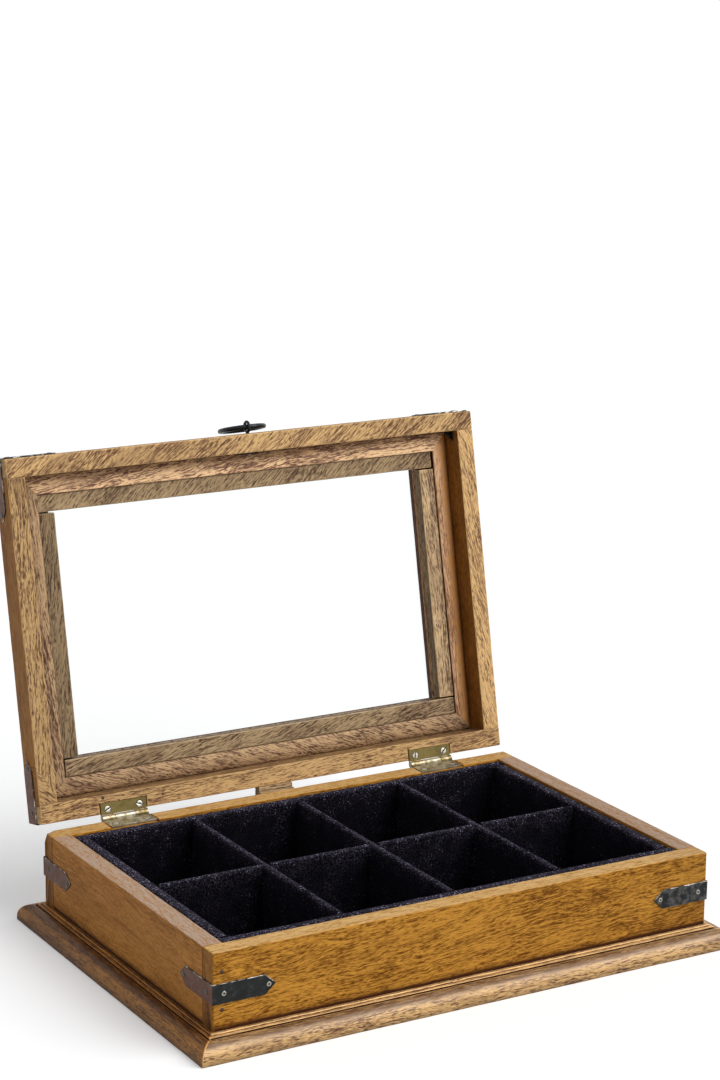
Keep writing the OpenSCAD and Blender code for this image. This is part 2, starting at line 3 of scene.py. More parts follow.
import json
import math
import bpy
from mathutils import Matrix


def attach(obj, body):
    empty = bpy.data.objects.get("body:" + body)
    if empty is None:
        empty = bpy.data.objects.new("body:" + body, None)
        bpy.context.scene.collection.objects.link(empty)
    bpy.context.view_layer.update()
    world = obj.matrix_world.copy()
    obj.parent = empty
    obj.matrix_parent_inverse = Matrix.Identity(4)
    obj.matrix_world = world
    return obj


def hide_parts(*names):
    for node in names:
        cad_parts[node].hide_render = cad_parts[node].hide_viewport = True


bl_info = {
    "name": "Tea Bag Box",
    "version": (1, 0, 0),
    "blender": (4, 5, 0),
    "location": "View3D > Sidebar > Tea Box",
    "description": "Builds the pieces, materials, lights and camera of a wooden tea bag box",
    "category": "Object",
}

import bpy
import numpy as np
from bpy.props import FloatProperty, FloatVectorProperty, PointerProperty
from bpy.types import Operator, Panel, PropertyGroup
from mathutils import Matrix, Vector, noise

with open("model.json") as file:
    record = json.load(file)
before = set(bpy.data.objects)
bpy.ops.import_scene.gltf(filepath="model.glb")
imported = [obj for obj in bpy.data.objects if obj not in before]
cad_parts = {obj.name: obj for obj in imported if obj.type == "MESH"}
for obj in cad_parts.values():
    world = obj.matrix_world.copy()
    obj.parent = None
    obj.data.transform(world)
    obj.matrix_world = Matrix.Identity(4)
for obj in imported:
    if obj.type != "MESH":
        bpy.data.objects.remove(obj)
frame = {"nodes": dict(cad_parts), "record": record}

MM = 0.001
FRONT, RIGHT, BACK, LEFT = range(4)
LONG = (FRONT, BACK)
SIDES = {"front": FRONT, "right": RIGHT, "back": BACK, "left": LEFT}

# A bar's own axes, and the ways its faces look where the bar is placed by inward
ALONG, DEPTH, HEIGHT = range(3)
UP, INNER, OUTER = (0, 0, 1), (0, 1, 0), (0, -1, 0)


def length(name, description, millimetres):
    """A length property. Its default is given in millimetres."""
    size = millimetres * MM
    return FloatProperty(name=name, description=description, default=size, unit="LENGTH", subtype="DISTANCE")


def colour(name, description, rgb):
    return FloatVectorProperty(
        name=name, description=description, default=rgb, size=3, min=0, max=1, subtype="COLOR"
    )


class TeaBoxSizes(PropertyGroup):
    """Sizes of the pieces that are built here, the same as in the CAD part."""

    body_w: length("Body width", "Over the side walls", 301)
    body_d: length("Body depth", "Over the front and back walls", 202.5)
    body_h: length("Body height", "From the floor to the rim", 53)
    wall_t: length("Wall", "Thickness of the body's walls", 11.4)
    base_top: length("Base top", "Height of the base panel's top", 5)
    base_rebate: length("Base rebate", "Depth of the rebate for the base panel", 5)
    edge_r: length("Edge radius", "Radius worn on the long outer edges", 0.8)
    plinth_h: length("Plinth height", "Height of the plinth moulding", 11.8)
    plinth_out: length("Plinth depth", "How far the plinth stands out", 12.2)
    fillet_w: length("Fillet", "Width of each small fillet of the plinth", 1.95)
    fillet_step: length("Fillet step", "Step from one fillet to the next", 0.9)
    groove_w: length("Groove", "Width of the groove next to the roll", 0.5)
    plinth_edge: length("Plinth edge", "Height of the square edge under the roll", 2.3)
    tray_t: length("Insert wall", "Thickness of the insert's outer walls", 8)
    tray_floor_t: length("Insert floor", "Thickness of the insert's floor", 3.2)
    tray_top: length("Insert top", "Height of the insert's outer walls", 52.5)
    tray_gap: length("Insert gap", "Clearance between insert and wood", 0.4)
    divider_t: length("Divider", "Thickness of the dividers", 5.5)
    divider_top: length("Divider top", "Height of the dividers' tops", 52.2)
    lid_z: length("Lid height", "Height of the shut lid's lower edge", 53.8)
    lid_h: length("Rail height", "Height of the lid's rails", 18)
    rail_t: length("Rail", "Thickness of the lid's rails", 10.9)
    pin_y: length("Hinge depth", "Hinge axis behind the middle", 103.65)
    pin_z: length("Hinge height", "Hinge axis above the floor", 53.4)
    moulding_w: length("Moulding", "Width of the lid's moulding", 20.9)
    crest_h: length("Crest", "Height of the moulding above the rails", 8.8)
    back_r: length("Moulding back", "Radius of the moulding's rounded back", 12)
    back_drop: length("Back start", "Moulding's back below the rail's top, at the rail", 2.8)
    back_low: length("Back end", "Moulding's back below the rail's top, at the bead", 6)
    roll_r: length("Moulding roll", "Radius of the moulding's roll", 15)
    crest_fillet: length("Crest fillet", "Width of each small fillet beside the crest", 2.6)
    crest_groove: length("Crest groove", "Width of the groove next to the roll", 0.5)
    crest_step: length("Crest step", "Inner fillet below the moulding's top", 0.5)
    crest_low: length("Groove floor", "Outer fillet below the moulding's top", 1.4)
    bead_w: length("Bead", "Width of the glazing beads", 9.7)
    bead_play: length("Bead play", "Gap left at one end of each long bead", 1.1)
    bead_short: length("Side bead play", "Gap left at the ends of each side bead", 1.6)
    bead_h: length("Bead height", "Height of the glazing beads", 6.5)
    bead_z: length("Bead level", "Height of the shut lid's beads", 66.8)
    glass_t: length("Glass", "Thickness of the pane", 2.4)
    strap_t: length("Strap", "Thickness of the corner straps", 0.6)
    strap_down: length("Body strap", "Middle of the body's straps below the rim", 21.6)
    strap_up: length("Lid strap", "Middle of the lid's straps above its lower edge", 11)
    nail_near: length("Near nail", "First nail from the corner", 5.9)
    strap_lift: length("Strap lift", "How much higher the body's back left strap sits", 2)
    nail_far: length("Far nail", "Second nail from the corner", 31)
    hinge_x: length("Hinge place", "Middle of each hinge from the middle of the box", 100.3)
    leaf_t: length("Leaf", "Thickness of the hinge leaves", 1.2)
    mortise_w: length("Mortise", "Length of a hinge mortise", 29.4)
    mortise_in: length("Lid mortise", "Depth of the lid's mortises from its back face", 6.5)
    patch_outer: length("Patch, outside", "Patch joint from the back rail, on the outer side", 21.5)
    patch_inner: length("Patch, inside", "Patch joint from the back rail, on the inner side", 3)
    patch_gap: length("Patch gap", "Gap in the patch joint", 0.15)
    screw_pitch: length("Screw pitch", "Between the two screws of a leaf", 19.6)
    box_screw_in: length("Box screws", "From the back face to the box leaves' screws", 6.6)
    lid_screw_in: length("Lid screws", "From the back face to the lid leaves' screws", 2.6)
    screw_head_r: length("Screw head", "Radius of the hinges' screw heads", 2.15)
    slot_w: length("Screw slot", "Width of the screwdriver slots", 0.6)
    open_angle: FloatProperty(
        name="Lid angle",
        description="From shut to the photographed rest",
        default=math.radians(101.5),
        subtype="ANGLE",
    )


class TeaBoxColours(PropertyGroup):
    """Base colours of the materials."""

    front_light: colour("Front wood, light", "Golden part of the front and back walls", (0.54, 0.25, 0.036))
    front_dark: colour("Front wood, dark", "Dark dashes of the front and back walls", (0.14, 0.045, 0.003))
    # front_rim: worn wood on the rims, lighter also as painted light from above
    front_rim: colour("Front rim", "Worn wood on the front and back rims", (0.78, 0.48, 0.19))
    side_light: colour("Side wood, light", "Light part of the side walls", (0.54, 0.235, 0.046))
    side_dark: colour("Side wood, dark", "Dark dashes of the side walls", (0.24, 0.085, 0.014))
    # rim: worn wood with painted light from above on the side rims, and the painted highlight on the front
    # plinth's roll
    rim: colour("Rim", "Worn wood on the side rims and edges", (0.52, 0.375, 0.28))
    plinth_light: colour("Plinth, light", "Light part of the plinth", (0.78, 0.48, 0.20))
    plinth_dark: colour("Plinth, dark", "Dark dashes of the plinth", (0.12, 0.046, 0.022))
    lid_light: colour("Lid wood, light", "Light part of the lid's rails", (0.69, 0.435, 0.19))
    lid_dark: colour("Lid wood, dark", "Dark dashes of the lid's rails", (0.15, 0.070, 0.040))
    moulding_light: colour("Moulding, light", "Light part of the lid's mouldings", (0.67, 0.44, 0.24))
    moulding_dark: colour("Moulding, dark", "Dark dashes of the lid's mouldings", (0.13, 0.062, 0.042))
    warm_light: colour("Warm wood, light", "Varnished moulding on the right", (0.60, 0.37, 0.215))
    warm_dark: colour("Warm wood, dark", "Its dark dashes", (0.18, 0.070, 0.026))
    bead_light: colour("Bead, light", "Light part of the glazing beads", (0.54, 0.375, 0.205))
    bead_dark: colour("Bead, dark", "Dark dashes of the glazing beads", (0.10, 0.054, 0.034))
    # stain is dark red-brown varnish in joints and filled holes, and also the colour of painted shade in
    # corners and recesses
    stain: colour("Stain", "Dark red-brown varnish in corners and joints", (0.050, 0.015, 0.005))
    velvet: colour("Velvet", "Pile of the insert", (0.0016, 0.0014, 0.0024))
    # lighter brushed pile, which on the insert's tops is also a painted sheen
    nap: colour("Nap", "Brushed pile on the insert's edges", (0.15, 0.135, 0.185))
    iron: colour("Iron", "Blackened straps", (0.015, 0.023, 0.025))
    iron_worn: colour("Iron, worn", "Rubbed iron on the straps' faces", (0.09, 0.095, 0.10))
    # iron_edge: bare iron, brightened also as a painted highlight along the straps' edges
    iron_edge: colour("Iron, edges", "Bare iron on the straps' worn edges", (0.85, 0.82, 0.76))
    iron_pale: colour("Iron, pale", "Grey wear of the right straps", (0.13, 0.125, 0.12))
    rust: colour("Rust", "Brown bloom on the straps' left arms", (0.115, 0.030, 0.005))
    wire: colour("Wire", "Ring and split pin", (0.010, 0.012, 0.016))
    wire_worn: colour("Wire, worn", "Rubbed places of the ring", (0.06, 0.07, 0.09))
    brass: colour("Brass", "Dulled hinge leaves", (0.20, 0.15, 0.050))
    # brass_worn: rubbed brass, and on the knuckles also a painted highlight
    brass_worn: colour("Brass, worn", "Rubbed places of the lid leaves", (0.46, 0.38, 0.29))
    leaf_worn: colour("Leaf, worn", "Rubbed places of the box leaves", (0.50, 0.47, 0.38))
    steel: colour("Steel", "Screws, knuckles and nails", (0.66, 0.62, 0.52))
    backdrop: colour("Backdrop", "Floor and background", (0.80, 0.80, 0.80))


# Shader trees


class Sock:
    """An output socket that takes part in plain arithmetic."""

    def __init__(self, tree, out):
        self.tree, self.out = tree, out

    def node(self, kind, *inputs, output=0, **settings):
        return make(self.tree, kind, *inputs, output=output, **settings)

    def maths(self, operation, other):
        return self.node("ShaderNodeMath", self, other, operation=operation)

    def __add__(self, other):
        return self.maths("ADD", other)

    def __sub__(self, other):
        return self.maths("SUBTRACT", other)

    def __mul__(self, other):
        return self.maths("MULTIPLY", other)

    __radd__ = __add__

    def __rsub__(self, other):
        return self.node("ShaderNodeMath", other, self, operation="SUBTRACT")

    def ramp(self, low, high, to_low=0.0, to_high=1.0):
        """This value carried from one span to another, held at the ends, with soft shoulders."""
        span = (low, high, to_low, to_high)
        return self.node("ShaderNodeMapRange", self, *span, interpolation_type="SMOOTHSTEP", clamp=True)

    def stretch(self, x, y, z):
        return self.node("ShaderNodeVectorMath", self, (x, y, z), operation="MULTIPLY")

    def shift(self, vector):
        return self.node("ShaderNodeVectorMath", self, vector, operation="ADD")

    def noise(self, scale, detail, rough=0.5, output=0):
        """Soft random values around 0.5 that follow this vector."""
        node = self.tree.nodes.new("ShaderNodeTexNoise")
        self.tree.links.new(self.out, node.inputs["Vector"])
        for key, value in (("Scale", scale), ("Detail", detail), ("Roughness", rough)):
            node.inputs[key].default_value = value
        return Sock(self.tree, node.outputs[output])

    def streaks(self, along, across, detail, rough=0.5):
        """Noise with so many waves per metre along X and across it."""
        return self.stretch(along, across, across).noise(1, detail, rough)


def make(tree, kind, *inputs, output=0, **settings):
    """A new shader node with its first inputs linked or set. Returns one of its outputs."""
    node = tree.nodes.new(kind)
    for key, value in settings.items():
        setattr(node, key, value)
    for socket, value in zip(node.inputs, inputs):
        if isinstance(value, Sock):
            tree.links.new(value.out, socket)
        elif value is not None:
            socket.default_value = value
    return Sock(tree, node.outputs[output])


def blend(tree, factor, one, two, mode="MIX"):
    """Two colours mixed by a factor. A plain colour is a tuple of three."""
    node = tree.nodes.new("ShaderNodeMix")
    node.data_type, node.blend_type = "RGBA", mode
    for socket, value in zip((node.inputs[0], node.inputs[6], node.inputs[7]), (factor, one, two)):
        if isinstance(value, Sock):
            tree.links.new(value.out, socket)
        else:
            socket.default_value = value if isinstance(value, (int, float)) else (*value, 1)
    return Sock(tree, node.outputs[2])


def attribute(tree, name, output):
    node = tree.nodes.new("ShaderNodeAttribute")
    node.attribute_name = name
    return Sock(tree, node.outputs[output])


def material(name, uniform):
    """A new material with a Principled BSDF. Returns it with its tree and the shader node."""
    made = bpy.data.materials.new(name)
    made.use_nodes = True
    tree = made.node_tree
    shader = next(n for n in tree.nodes if n.type == "BSDF_PRINCIPLED")
    for key, value in uniform.items():
        shader.inputs[key].default_value = value
    return made, tree, shader


def scaled(share, rgb):
    """A colour times a factor."""
    return tuple(share * c for c in rgb)


def feed(tree, shader, **sockets):
    """Links values to the shader's inputs. An underscore stands for a space in their names."""
    for key, value in sockets.items():
        tree.links.new(value.out, shader.inputs[key.replace("_", " ")])


def bump(tree, shader, height, strength, distance):
    node = tree.nodes.new("ShaderNodeBump")
    node.inputs["Strength"].default_value = strength
    node.inputs["Distance"].default_value = distance
    tree.links.new(height.out, node.inputs["Height"])
    tree.links.new(node.outputs["Normal"], shader.inputs["Normal"])


def surface(tree, result):
    """Links a shader to the material's output."""
    end = next(n for n in tree.nodes if n.type == "OUTPUT_MATERIAL")
    tree.links.new(result.out, end.inputs["Surface"])


def wood(name, light, dark, rim, stain, fine=1.0, broad=1.0, gloss=0.42, coat=0.03):
    """Varnished wood, its fibres along X of the attribute grain.

    The attribute tint shows worn wood, with painted light from above on the rims, a painted highlight on the
    plinth's roll and the warmer varnish by the right rail. Another shows dark varnish in joints and painted
    shade in corners and recesses, edge shows rubbed corners with a painted highlight, and the last holds a
    painted brightness of light and shade, less one.
    """
    made, tree, shader = material(
        name, {"Coat Weight": coat, "Coat Roughness": 0.25, "Specular IOR Level": 0.05}
    )
    grain = attribute(tree, "grain", "Vector")
    tint, grime, edge, tone = (attribute(tree, key, "Fac") for key in ("tint", "grime", "edge", "tone"))
    middle = (-0.5, -0.5, -0.5)
    drift = grain.stretch(9, 28, 28).noise(1, 2, output=1).shift(middle).stretch(0, 0.012, 0.012)
    ripple = grain.stretch(55, 90, 90).noise(1, 1, output=1).shift(middle).stretch(0, 0.003, 0.003)
    fibre = grain.shift(drift).shift(ripple)
    bands = fibre.streaks(5, 60, 3, 0.6) - 0.5
    streak = fibre.streaks(22, 330, 3, 0.65) - 0.5
    lines = fibre.streaks(75, 1050, 2, 0.6) - 0.5
    hair = fibre.streaks(320, 1900, 1) - 0.5
    cloud = grain.streaks(25, 55, 2) - 0.5
    pores = fibre.streaks(300, 2000, 1).ramp(0.56, 0.70)
    patch = grain.streaks(90, 300, 3, 0.6) - 0.5
    smoke = grain.streaks(14, 70, 3, 0.65).ramp(0.50, 0.70)
    amount = 0.40 + (bands + streak * 0.45 + cloud * 0.6) * broad + (lines * 2.2 + hair * 1.7) * fine
    shade = blend(tree, amount.ramp(0.0, 1.0), light, dark)
    shade = blend(tree, smoke * 0.4 * broad, shade, dark)
    shade = blend(tree, pores * (0.4 + cloud * 1.5) * fine, shade, scaled(0.5, dark))
    rubbed = (0.3 + streak * 0.9 + (lines + hair) * 2.4).ramp(0.0, 1.0)
    # worn wood of the rims, lighter also as painted light from above, and the painted highlight on the
    # plinth's roll
    worn = blend(tree, rubbed, rim, scaled(0.8, light))
    shade = blend(tree, (tint * (1.15 + patch * 1.6)).ramp(0.12, 0.95), shade, worn)
    # dark varnish in joints, and painted shade in corners, creases and recesses
    shade = blend(tree, (grime * (1.0 + patch * 0.8 + lines * 0.5)).ramp(0.0, 1.0), shade, stain)
    # rubbed outer edges, brightened beyond the wood also as a painted highlight
    bright = tuple(min(1, 1.3 * c) for c in light)
    shade = blend(tree, (edge * (1.0 + patch * 2.5)).ramp(0.1, 0.9), shade, bright)
    # painted light and shade: each piece and face made brighter or darker
    shade = blend(tree, 1.0, shade, tone + 1.0, "MULTIPLY")
    dash = (lines + hair) * 2.0
    feed(tree, shader, Base_Color=shade, Roughness=dash.ramp(-0.5, 0.5, gloss, gloss + 0.14))
    bump(tree, shader, pores - dash, 0.3, 0.0002)
    return made


def velvet(name, base, nap):
    """Short pile: nearly black and dull, brushed and speckled where the attribute tint marks it, which is
    also a painted sheen on the tops.
    """
    sheen = {"Sheen Weight": 0.10, "Sheen Roughness": 0.4, "Sheen Tint": (0.6, 0.55, 0.8, 1)}
    made, tree, shader = material(name, {**sheen, "Specular IOR Level": 0.0})
    place = make(tree, "ShaderNodeTexCoord", output=3)
    rubbed = attribute(tree, "tint", "Fac")
    patch = place.noise(70, 3, 0.6)
    pile = place.noise(1300, 3, 0.75).ramp(0.44, 0.70)
    speck = place.noise(1100, 1, 0.5).ramp(0.65, 0.70)
    shade = blend(tree, patch.ramp(0.45, 0.7) * pile * 0.12, base, nap)
    # brushed pile and painted sheen where tint marks the tops
    shade = blend(tree, rubbed * pile * patch.ramp(0.25, 0.6), shade, nap)
    lint = speck * (rubbed * 0.8 + patch.ramp(0.4, 0.7) * 0.25)
    shade = blend(tree, lint, shade, scaled(3.2, nap))
    feed(tree, shader, Base_Color=shade, Roughness=patch.ramp(0.3, 0.7, 0.85, 1.0))
    bump(tree, shader, pile + patch * 0.6, 0.7, 0.0008)
    return made


def metal(
    name, base, bright, rust=None, pale=None,
    metallic=0.9, rough=0.45, wear=(0.5, 0.75, 0.5), scale=300, barrel=False,
):
    """Aged metal: a dull coat, brighter where rubbed, with dark spots and stains.

    Wear says where on the noise the rubbing starts and ends, and how strong it is. With a rust colour
    the straps' left arms are brown and the right ones pale. With barrel the knuckles are polished and
    carry a painted highlight.
    """
    sizes = bpy.context.scene.tea_box_sizes
    made, tree, shader = material(name, {"Metallic": metallic})
    place = make(tree, "ShaderNodeTexCoord", output=3)
    rub = place.noise(scale, 4, 0.65)
    spots = place.noise(scale * 4, 2)
    stain = place.noise(scale * 0.4, 3, 0.6)
    low, high, share = wear
    shade = blend(tree, rub.ramp(low, high) * share, base, bright)
    shade = blend(tree, spots.ramp(0.55, 0.7) * 0.6, shade, scaled(0.3, base))
    shade = blend(tree, stain.ramp(0.42, 0.68) * 0.5, shade, scaled(0.45, base))
    gloss = rub.ramp(0.3, 0.75, rough + 0.15, rough - 0.08)
    if rust:
        across = make(tree, "ShaderNodeSeparateXYZ", place)
        side = sizes.body_w / 2
        bloom = across.ramp(-side - 0.8 * MM, -side - 0.1 * MM, 0.95, 0.06)
        shade = blend(tree, bloom * stain.ramp(0.1, 0.4), shade, rust)
        shade = blend(tree, across.ramp(0.09, 0.12) * rub.ramp(0.4, 0.65) * 0.6, shade, pale)
        feed(tree, shader, Metallic=metallic - bloom * 0.7)
    # polished knuckles, brightened also as a painted highlight
    if barrel:
        away = place.shift((0, -sizes.pin_y, -sizes.pin_z)).stretch(0, 1, 1)
        radius = away.node("ShaderNodeVectorMath", away, operation="LENGTH", output=1)
        near = radius.ramp(2.0 * MM, 2.2 * MM, 1.0, 0.0)
        shade = blend(tree, near * rub.ramp(0.4, 0.6) * 0.7, shade, bright)
        gloss = gloss - near * 0.12
    feed(tree, shader, Base_Color=shade, Roughness=gloss)
    bump(tree, shader, rub + spots * 0.5, 0.3, 0.0002)
    return made


def nail_metal(name, dark, bright):
    """A nail's head with a rubbed ring, also a painted highlight, which tint marks. It is weaker on the left
    side.
    """
    made, tree, shader = material(name, {"Metallic": 0.8})
    side = bpy.context.scene.tea_box_sizes.body_w / 2
    place = make(tree, "ShaderNodeTexCoord", output=3)
    across = make(tree, "ShaderNodeSeparateXYZ", place)
    # the rubbed ring with its painted highlight, weaker on the left side
    ring = attribute(tree, "tint", "Fac") * across.ramp(-side - MM, -side, 0.25, 1.0)
    rub = place.noise(500, 3, 0.6)
    shade = blend(tree, ring * rub.ramp(0.2, 0.5), dark, bright)
    feed(tree, shader, Base_Color=shade, Roughness=rub.ramp(0.3, 0.7, 0.5, 0.3))
    return made


def glass(name):
    made, tree, _ = material(name, {"Base Color": (1, 1, 1, 1), "Roughness": 0.02, "IOR": 1.45})
    clear = make(tree, "ShaderNodeBsdfTransparent", (0.985, 0.992, 0.988, 1))
    facing = make(tree, "ShaderNodeFresnel", 1.45)
    glossy = make(tree, "ShaderNodeBsdfGlossy", (1, 1, 1, 1), 0.02)
    mixed = make(tree, "ShaderNodeMixShader", facing * 0.6, clear, glossy)
    surface(tree, mixed)
    made.surface_render_method = "BLENDED"
    return made


# Each finish: what makes it, its colours and its settings.
FINISHES = {
    "wood_front": (wood, "front_light front_dark front_rim stain", {"broad": 0.7}),
    "wood_side": (wood, "side_light side_dark rim stain", {"fine": 0.5, "broad": 0.8}),
    "wood_plinth": (wood, "plinth_light plinth_dark rim stain", {"coat": 0.35, "gloss": 0.3}),
    # the left plinth: a darker copy of the plinth's wood, as painted shade
    "wood_low": (wood, "side_light plinth_dark rim stain", {"fine": 0.8, "coat": 0.25}),
    "wood_lid": (wood, "lid_light lid_dark rim stain", {"fine": 1.15}),
    "wood_moulding": (wood, "moulding_light moulding_dark rim stain", {"fine": 1.15}),
    "wood_warm": (wood, "warm_light warm_dark side_light stain", {"coat": 0.08}),
    "wood_bead": (wood, "bead_light bead_dark rim stain", {}),
    "velvet": (velvet, "velvet nap", {}),
    "iron": (metal, "iron iron_worn rust iron_pale", {"wear": (0.5, 0.75, 0.4)}),
    "iron_edge": (metal, "iron iron_edge", {"wear": (0.45, 0.65, 0.8), "rough": 0.35, "scale": 180}),
    "nail": (nail_metal, "iron steel", {}),
    "wire": (metal, "wire wire_worn", {"metallic": 0.6, "rough": 0.3}),
    "brass": (metal, "brass brass_worn", {"wear": (0.5, 0.8, 0.3), "barrel": True}),
    "steel": (metal, "brass steel", {"rough": 0.35, "wear": (0.35, 0.6, 0.9)}),
    "leaf": (metal, "brass leaf_worn", {"rough": 0.4, "wear": (0.3, 0.6, 0.85)}),
    "plug": (metal, "stain stain", {"metallic": 0.0, "rough": 0.6}),
    "glass": (glass, "", {}),
}


def finish(name):
    """The named material, made the first time it is asked for."""
    label = "tea box " + name
    if label in bpy.data.materials:
        return bpy.data.materials[label]
    make_it, keys, settings = FINISHES[name]
    colours = bpy.context.scene.tea_box_colours
    return make_it(label, *(tuple(getattr(colours, key)) for key in keys.split()), **settings)


# Geometry helpers


def opened(sizes):
    """Turns a piece drawn on the shut lid to the open rest pose."""
    pin = Vector((0, sizes.pin_y, sizes.pin_z))
    return Matrix.Translation(pin) @ Matrix.Rotation(-sizes.open_angle, 4, "X") @ Matrix.Translation(-pin)


def inward(side, width, depth, z=0.0):
    """Puts a bar that runs along X, with +Y going into the box, on one of the four sides."""
    half = (depth if side in LONG else width) / 2
    return Matrix.Rotation(math.pi / 2 * side, 4, "Z") @ Matrix.Translation((0, -half, z))


def outward(side, width, depth):
    """The same with +Y going out of the box, at the height of the floor."""
    return inward(side, width, depth) @ Matrix.Rotation(math.pi, 4, "Z")


def arc(centre, radius, start, turn, parts, which):
    """Corners without a radius on an arc in even parts, of which only some are wanted."""
    angles = [start + turn * k / parts for k in which]
    return [(centre[0] + radius * math.cos(a), centre[1] + radius * math.sin(a), 0) for a in angles]


def outline(corners, step=0.003):
    """A closed outline through (depth, height, radius) corners, rounded and cut into short steps."""
    points = []
    count = len(corners)
    for i in range(count):
        here = Vector(corners[i][:2])
        before = Vector(corners[i - 1][:2]) - here
        after = Vector(corners[(i + 1) % count][:2]) - here
        radius = corners[i][2]
        if radius <= 0:
            points.append(here)
            continue
        half = before.angle(after) / 2
        reach = min(radius / math.tan(half), 0.49 * before.length, 0.49 * after.length)
        radius = reach * math.tan(half)
        middle = here + (before.normalized() + after.normalized()).normalized() * (radius / math.sin(half))
        start = here + before.normalized() * reach - middle
        turn = start.angle_signed(here + after.normalized() * reach - middle)
        parts = max(2, round(abs(turn) / math.radians(18 if radius > 0.001 else 30)))
        for k in range(parts + 1):
            angle = -turn * k / parts
            spin = Matrix.Rotation(angle, 2)
            points.append(middle + spin @ start)
    smooth = []
    for i, here in enumerate(points):
        after = points[(i + 1) % len(points)]
        run = (after - here).length
        smooth += [here] + [here.lerp(after, c / run) for c in stations(run, step)]
    return [tuple(p) for p in smooth]


def stations(run, step, close=(0.0004, 0.0011)):
    """Distances along a run, even in the middle and close together beside both ends."""
    if run < 0.0008:
        return []
    if run < 4 * close[1]:
        return [min(close[0], 0.3 * run), max(run - close[0], 0.7 * run)]
    parts = max(1, math.ceil((run - 4 * close[1]) / step))
    middle = [2 * close[1] + (run - 4 * close[1]) * k / parts for k in range(parts + 1)]
    return [*close, *middle, *(run - c for c in reversed(close))]


def built(name, verts, faces=()):
    """A new object in the scene with a mesh of its own."""
    mesh = bpy.data.meshes.new(name)
    mesh.from_pydata([tuple(v) for v in verts], [], faces)
    obj = bpy.data.objects.new(name, mesh)
    bpy.context.scene.collection.objects.link(obj)
    return obj


def unit(vectors):
    return vectors / np.maximum(np.linalg.norm(vectors, axis=1), 1e-9)[:, None]


def stick(profile, run, grow=0.0, step=0.003, chamfer=0.0003):
    """A bar along X with a closed (depth, height) profile, and a chamfer round its ends.

    A mitred end grows by the depth, or shrinks by it where grow is -1.
    """
    flat = np.array(profile)
    area = np.sum(flat[:, 0] * np.roll(flat[:, 1], -1) - np.roll(flat[:, 0], -1) * flat[:, 1])
    if area < 0:
        flat = flat[::-1]
    edge = unit(np.roll(flat, -1, 0) - flat)
    normal = np.stack([edge[:, 1], -edge[:, 0]], 1)
    inset = flat - unit(normal + np.roll(normal, 1, 0)) * chamfer
    reach = run / 2 + grow * flat[:, 0]
    tip = run / 2 + grow * inset[:, 0]
    rings = [np.column_stack([-tip, inset])]
    for along in [0.0, *stations(run, step), run]:
        rings.append(np.column_stack([(-1 + 2 * along / run) * (reach - chamfer), flat]))
    rings.append(np.column_stack([tip, inset]))
    count = len(flat)
    faces = [tuple(range(count))[::-1], tuple((len(rings) - 1) * count + i for i in range(count))]
    for k in range(len(rings) - 1):
        for i in range(count):
            a, b = k * count + i, k * count + (i + 1) % count
            faces.append((a, b, b + count, a + count))
    return np.vstack(rings), faces


def prism(plan, low, high):
    """A block over a plan of (x, y) points that run anticlockwise, to be taken away from a piece."""
    count = len(plan)
    faces = [tuple(range(count))[::-1], tuple(range(count, 2 * count))]
    faces += [(i, (i + 1) % count, (i + 1) % count + count, i + count) for i in range(count)]
    return built("cutter", [(x, y, z) for z in (low, high) for x, y in plan], faces)


def box(low, high):
    """The plan and heights of a square block for cut."""
    return [(low[0], low[1]), (high[0], low[1]), (high[0], high[1]), (low[0], high[1])], low[2], high[2]


def applied(obj):
    """Gives obj the mesh that its modifiers make, and removes them."""
    shaped = bpy.data.meshes.new_from_object(obj.evaluated_get(bpy.context.evaluated_depsgraph_get()))
    old = obj.data
    obj.modifiers.clear()
    obj.data = shaped
    shaped.name = obj.name
    bpy.data.meshes.remove(old)


def cut(obj, blocks):
    """Takes blocks of (plan, low, high) away from a piece."""
    for plan, low, high in blocks:
        block = prism(plan, low, high)
        modifier = obj.modifiers.new("cut", "BOOLEAN")
        modifier.operation, modifier.solver, modifier.object = "DIFFERENCE", "EXACT", block
        applied(obj)
        bpy.data.meshes.remove(block.data)


def store(mesh, name, values):
    """Keeps one number or one vector per point as a mesh attribute."""
    values = np.asarray(values, dtype=np.float32)
    kind, field = ("FLOAT_VECTOR", "vector") if values.ndim > 1 else ("FLOAT", "value")
    mesh.attributes.new(name, kind, "POINT").data.foreach_set(field, values.ravel())


def read(mesh, key="co"):
    """The places of a mesh's points, or their normals, as rows of x, y and z."""
    found = np.empty(len(mesh.vertices) * 3, dtype=np.float32)
    mesh.vertices.foreach_get(key, found)
    return found.reshape(-1, 3).astype(float)


def convexity(mesh, local, facing):
    """How far each vertex stands out from its neighbours, negative in an inner corner."""
    pairs = np.empty(len(mesh.edges) * 2, dtype=np.int32)
    mesh.edges.foreach_get("vertices", pairs)
    pairs = pairs.reshape(-1, 2)
    step = unit(local[pairs[:, 1]] - local[pairs[:, 0]])
    total, count = np.zeros(len(local)), np.zeros(len(local))
    for end, sign in ((0, -1), (1, 1)):
        here = pairs[:, end]
        np.add.at(total, here, sign * np.einsum("ij,ij->i", step, facing[here]))
        np.add.at(count, here, 1)
    return total / np.maximum(count, 1)


def rough_field(points, seed, size):
    """Smooth random values from -1 to 1 at each point. size is the width of one wave."""
    base = Vector((seed * 3.17, seed * 1.31, seed * 7.73))
    return np.array([noise.noise(Vector(p) / size + base) for p in points])


